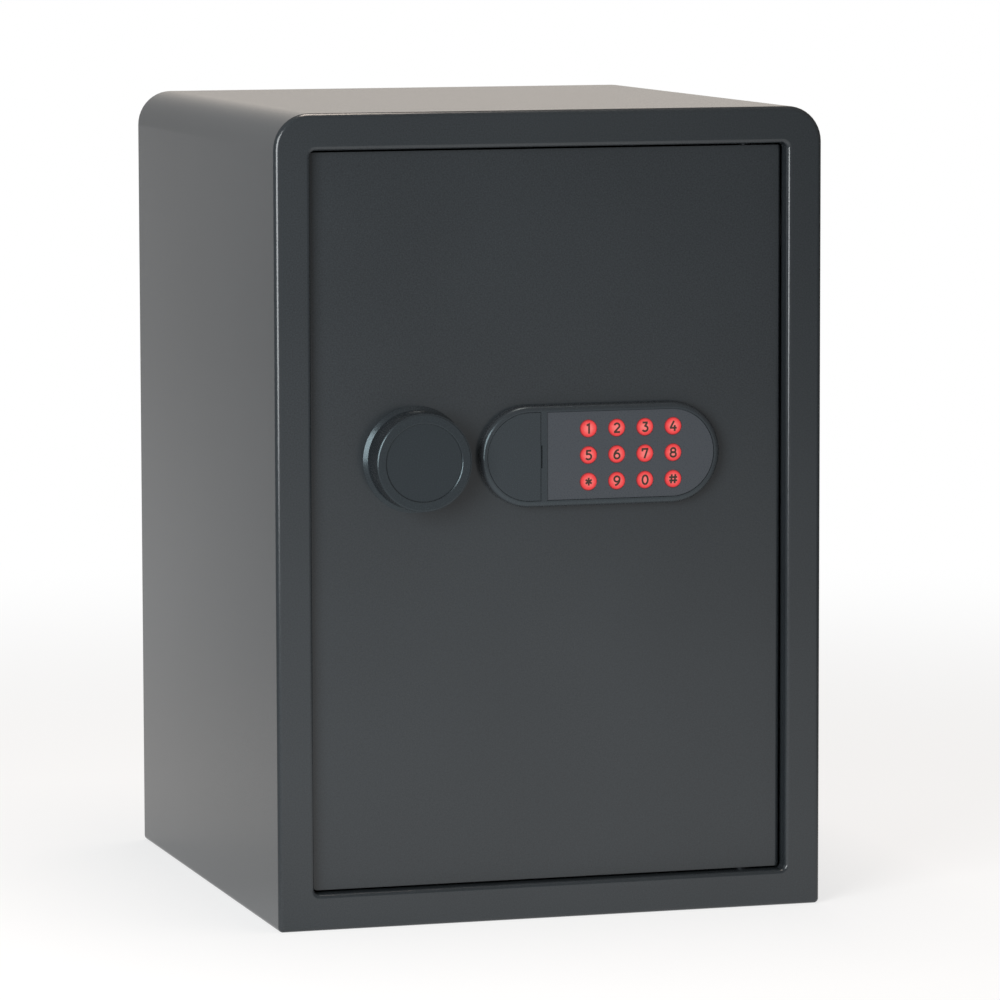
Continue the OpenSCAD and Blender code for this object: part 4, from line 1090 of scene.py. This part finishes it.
@dataclass
class Studio:
    """Camera, pale floor, white surroundings and lamps.

    The camera sees white all round. Glossy surfaces mirror a floor and a sweep that are bright in
    some places and dim in others, and matt ones get one even light, all as shares of white.

    Attributes:
        camera_place: Where the camera stands, fitted to the edges in the photograph.
        yaw: Its turn to the right, in radians.
        pitch: Its tilt downwards.
        roll: Its lean.
        lens_mm: Focal length of its lens.
        sensor_mm: Width of its sensor.
        clip: Nearest and farthest distance that it sees.
        floor_size: Length of the floor's side.
        floor_colour: Colour of the paper on it.
        shadow_share: Share of the floor by the safe that is plain paper and takes a shadow.
        shadow_fade: Distances from the middle between which that share falls to nothing.
        ambient: Light that matt surfaces get from all round.
        room: What glossy ones mirror where no sweep or lit floor is.
        sweep: The same of the sweep behind the safe, at its right.
        sweep_left: The same at its left.
        sweep_turn: X of the directions between which the left turns into the right.
        sweep_colour: Tint of the sweep at its right.
        sweep_side: Y of the directions between which the room turns into the sweep.
        sweep_top: Z of the directions between which the sweep turns into what is above it.
        above_sweep: What glossy surfaces mirror above the sweep.
        floor_front: Y between which the lit floor begins in front of the safe.
        floor_front_shares: Its strength at those two.
        floor_behind: Y between which it fades behind the safe.
        floor_behind_shares: What its strength is multiplied by there.
        left_flag_slant: How much the left flag's shade widens, by distance from the safe.
        left_flag_edge: Distance to the right of its slanted line, from full shade to none.
        right_flag_slant: The same of the right flag.
        right_flag_edge: The same of the right flag, to the left of its line.
        lamps: The lamps.
    """

    camera_place: Place = (-1.05165, -3.59061, 0.65516)
    yaw: float = 0.29006
    pitch: float = 0.1101
    roll: float = 0.0023744
    lens_mm: float = 210.354
    sensor_mm: float = 36.0
    clip: Span = (0.05, 100.0)
    floor_size: float = 24.0
    floor_colour: str = "#f4f4f4"
    shadow_share: float = 0.3
    shadow_fade: Span = (0.5, 1.7)
    ambient: float = 0.34
    room: float = 0.18
    sweep: float = 0.83
    sweep_left: float = 0.46
    sweep_turn: Span = (-0.15, 0.32)
    sweep_colour: str = "#fff7ee"
    sweep_side: Span = (0.7, 0.96)
    sweep_top: Span = (0.14, 0.5)
    above_sweep: float = 0.35
    floor_front: Span = (-4.4, -1.0)
    floor_front_shares: Span = (0.38, 1.2)
    floor_behind: Span = (0.4, 4.0)
    floor_behind_shares: Span = (0.8, 0.61)
    left_flag_slant: float = 0.25
    left_flag_edge: Span = (-0.5, 0.05)
    right_flag_slant: float = 0.3
    right_flag_edge: Span = (-0.8, 0.0)
    lamps: tuple[Softbox, ...] = (
        Softbox("softbox_front_left", place=(-1.02, -1.2, 0.6), target=(-0.1, -0.15, 0.45),
                width=0.8, height=0.9, brightness=11.6, colour="#f4f8fa"),
        Softbox("lamp_overhead", place=(0.06, 0.0, 1.8), target=(0.06, 0.0, 0.5),
                width=0.42, height=1.0, brightness=12.0, colour="#fff0e4"))

    def build(self) -> None:
        """Sets up the studio."""
        self.put_camera()
        self.lay_floor()
        self.light_world()
        for lamp in self.lamps:
            lamp.build()

    def put_camera(self) -> None:
        """Puts the camera where the photograph was taken from."""
        forward = Vector((math.sin(self.yaw) * math.cos(self.pitch),
                          math.cos(self.yaw) * math.cos(self.pitch), -math.sin(self.pitch)))
        level = Vector((math.cos(self.yaw), -math.sin(self.yaw), 0))
        up = level.cross(forward)
        right = math.cos(self.roll) * level - math.sin(self.roll) * up
        up = right.cross(forward)
        lens = bpy.data.cameras.new("camera")
        lens.lens = self.lens_mm
        lens.sensor_width = self.sensor_mm
        lens.clip_start, lens.clip_end = self.clip
        camera = bpy.data.objects.new("camera", lens)
        turn = Matrix((right, up, -forward)).transposed().to_4x4()
        camera.matrix_world = Matrix.Translation(self.camera_place) @ turn
        bpy.context.scene.collection.objects.link(camera)
        bpy.context.scene.camera = camera

    def lay_floor(self) -> None:
        """Lays a floor that shows white and keeps the safe's shadow."""
        half = self.floor_size / 2
        mesh = bpy.data.meshes.new("studio_floor")
        mesh.from_pydata([(-half, -half, 0), (half, -half, 0), (half, half, 0), (-half, half, 0)],
                         [], [(0, 1, 2, 3)])
        floor = bpy.data.objects.new("studio_floor", mesh)
        bpy.context.scene.collection.objects.link(floor)
        made = bpy.data.materials.new("paper_sweep_white")
        made.use_nodes = True
        tree = made.node_tree
        tree.nodes.clear()
        place = add_node(tree, "ShaderNodeTexCoord").outputs["Object"]
        reach = add_node(tree, "ShaderNodeVectorMath", {0: place}, operation="LENGTH")
        shadow = add_node(tree, "ShaderNodeMapRange", {
            "Value": reach.outputs["Value"], "From Min": self.shadow_fade[0],
            "From Max": self.shadow_fade[1], "To Min": self.shadow_share, "To Max": 0.0},
            interpolation_type="SMOOTHSTEP")
        path = add_node(tree, "ShaderNodeLightPath")
        strength = add_node(tree, "ShaderNodeMix", {
            "Factor": path.outputs["Is Camera Ray"], MIX_LOW: self.floor_light(tree, place),
            MIX_HIGH: 1.0})
        glow = add_node(tree, "ShaderNodeEmission", {
            "Color": linear(WHITE), "Strength": strength.outputs[0]})
        paper = add_node(tree, "ShaderNodeBsdfDiffuse", {"Color": linear(self.floor_colour)})
        both = add_node(tree, "ShaderNodeMixShader", {
            0: shadow.outputs[0], 1: glow.outputs[0], 2: paper.outputs[0]})
        add_node(tree, "ShaderNodeOutputMaterial", {"Surface": both.outputs[0]})
        mesh.materials.append(made)

    def floor_light(self, tree: Tree, place: Socket) -> Socket:
        """Gives how bright the floor is for all but the camera.

        Args:
            tree: Node tree of the floor's material.
            place: Place on the floor, in metres.

        Returns:
            The floor's strength.
        """
        spot = add_node(tree, "ShaderNodeSeparateXYZ", {0: place})
        in_front = add_node(tree, "ShaderNodeMapRange", {
            "Value": spot.outputs[1], "From Min": self.floor_front[0],
            "From Max": self.floor_front[1], "To Min": self.floor_front_shares[0],
            "To Max": self.floor_front_shares[1]}, interpolation_type="SMOOTHSTEP")
        behind = add_node(tree, "ShaderNodeMapRange", {
            "Value": spot.outputs[1], "From Min": self.floor_behind[0],
            "From Max": self.floor_behind[1], "To Min": self.floor_behind_shares[0],
            "To Max": self.floor_behind_shares[1]})
        lit = add_node(tree, "ShaderNodeMath", {0: in_front.outputs[0], 1: behind.outputs[0]},
                       operation="MULTIPLY")
        # A dark flag at either side shades all but a wedge that widens away from the safe
        away = add_node(tree, "ShaderNodeMath", {0: spot.outputs[1]}, operation="ABSOLUTE")
        for sign, slant, edge in ((1.0, self.left_flag_slant, self.left_flag_edge),
                                  (-1.0, self.right_flag_slant, self.right_flag_edge)):
            across = add_node(tree, "ShaderNodeMath", {0: spot.outputs[0], 1: sign},
                              operation="MULTIPLY")
            past_flag = add_node(tree, "ShaderNodeMath", {
                0: away.outputs[0], 1: slant, 2: across.outputs[0]}, operation="MULTIPLY_ADD")
            clear = add_node(tree, "ShaderNodeMapRange", {
                "Value": past_flag.outputs[0], "From Min": edge[0], "From Max": edge[1],
                "To Min": self.room, "To Max": 1.0}, interpolation_type="SMOOTHSTEP")
            lit = add_node(tree, "ShaderNodeMath", {0: lit.outputs[0], 1: clear.outputs[0]},
                           operation="MULTIPLY")
        return lit.outputs[0]

    def light_world(self) -> None:
        """Surrounds the safe with a white sweep behind it and a dim room in front."""
        world = bpy.data.worlds.new("studio")
        world.use_nodes = True
        tree = world.node_tree
        tree.nodes.clear()
        path = add_node(tree, "ShaderNodeLightPath")
        direction = add_node(tree, "ShaderNodeSeparateXYZ", {
            0: add_node(tree, "ShaderNodeTexCoord").outputs["Generated"]})
        turn = add_node(tree, "ShaderNodeMapRange", {
            "Value": direction.outputs[0], "From Min": self.sweep_turn[0],
            "From Max": self.sweep_turn[1]}, interpolation_type="SMOOTHSTEP")
        low = add_node(tree, "ShaderNodeMix", {
            "Factor": turn.outputs[0], MIX_LOW: self.sweep_left, MIX_HIGH: self.sweep})
        above = add_node(tree, "ShaderNodeMapRange", {
            "Value": direction.outputs[2], "From Min": self.sweep_top[0],
            "From Max": self.sweep_top[1], "To Min": low.outputs[0], "To Max": self.above_sweep},
            interpolation_type="SMOOTHSTEP")
        sweep = add_node(tree, "ShaderNodeMapRange", {
            "Value": direction.outputs[1], "From Min": self.sweep_side[0],
            "From Max": self.sweep_side[1], "To Min": self.room, "To Max": above.outputs[0]},
            interpolation_type="SMOOTHSTEP")
        mirrored = add_node(tree, "ShaderNodeMath", {
            0: path.outputs["Is Glossy Ray"], 1: path.outputs["Is Transmission Ray"]},
            operation="MAXIMUM")
        soft = add_node(tree, "ShaderNodeMix", {
            "Factor": mirrored.outputs[0], MIX_LOW: self.ambient, MIX_HIGH: sweep.outputs[0]})
        seen = add_node(tree, "ShaderNodeMix", {
            "Factor": path.outputs["Is Camera Ray"], MIX_LOW: soft.outputs[0], MIX_HIGH: 1.0})
        warm = add_node(tree, "ShaderNodeMath", {0: mirrored.outputs[0], 1: turn.outputs[0]},
                        operation="MULTIPLY")
        tint = add_node(tree, "ShaderNodeMix", {
            "Factor": warm.outputs[0], MIX_A: linear(WHITE), MIX_B: linear(self.sweep_colour)},
            data_type="RGBA")
        sky = add_node(tree, "ShaderNodeBackground", {
            "Color": tint.outputs[MIX_COLOUR], "Strength": seen.outputs[0]})
        add_node(tree, "ShaderNodeOutputWorld", {"Surface": sky.outputs[0]})
        bpy.context.scene.world = world


def main() -> None:
    """Builds the studio and the safe."""
    bpy.context.scene.view_settings.view_transform = "Standard"
    for part in (Studio(), Cabinet(), Door(), BoltWork(), Knob(), Keypad(), OverrideLock(),
                 Solenoid(), Electronics()):
        part.build()
        LOG.info("%s is built", type(part).__name__)


if __name__ == "__main__":
    main()
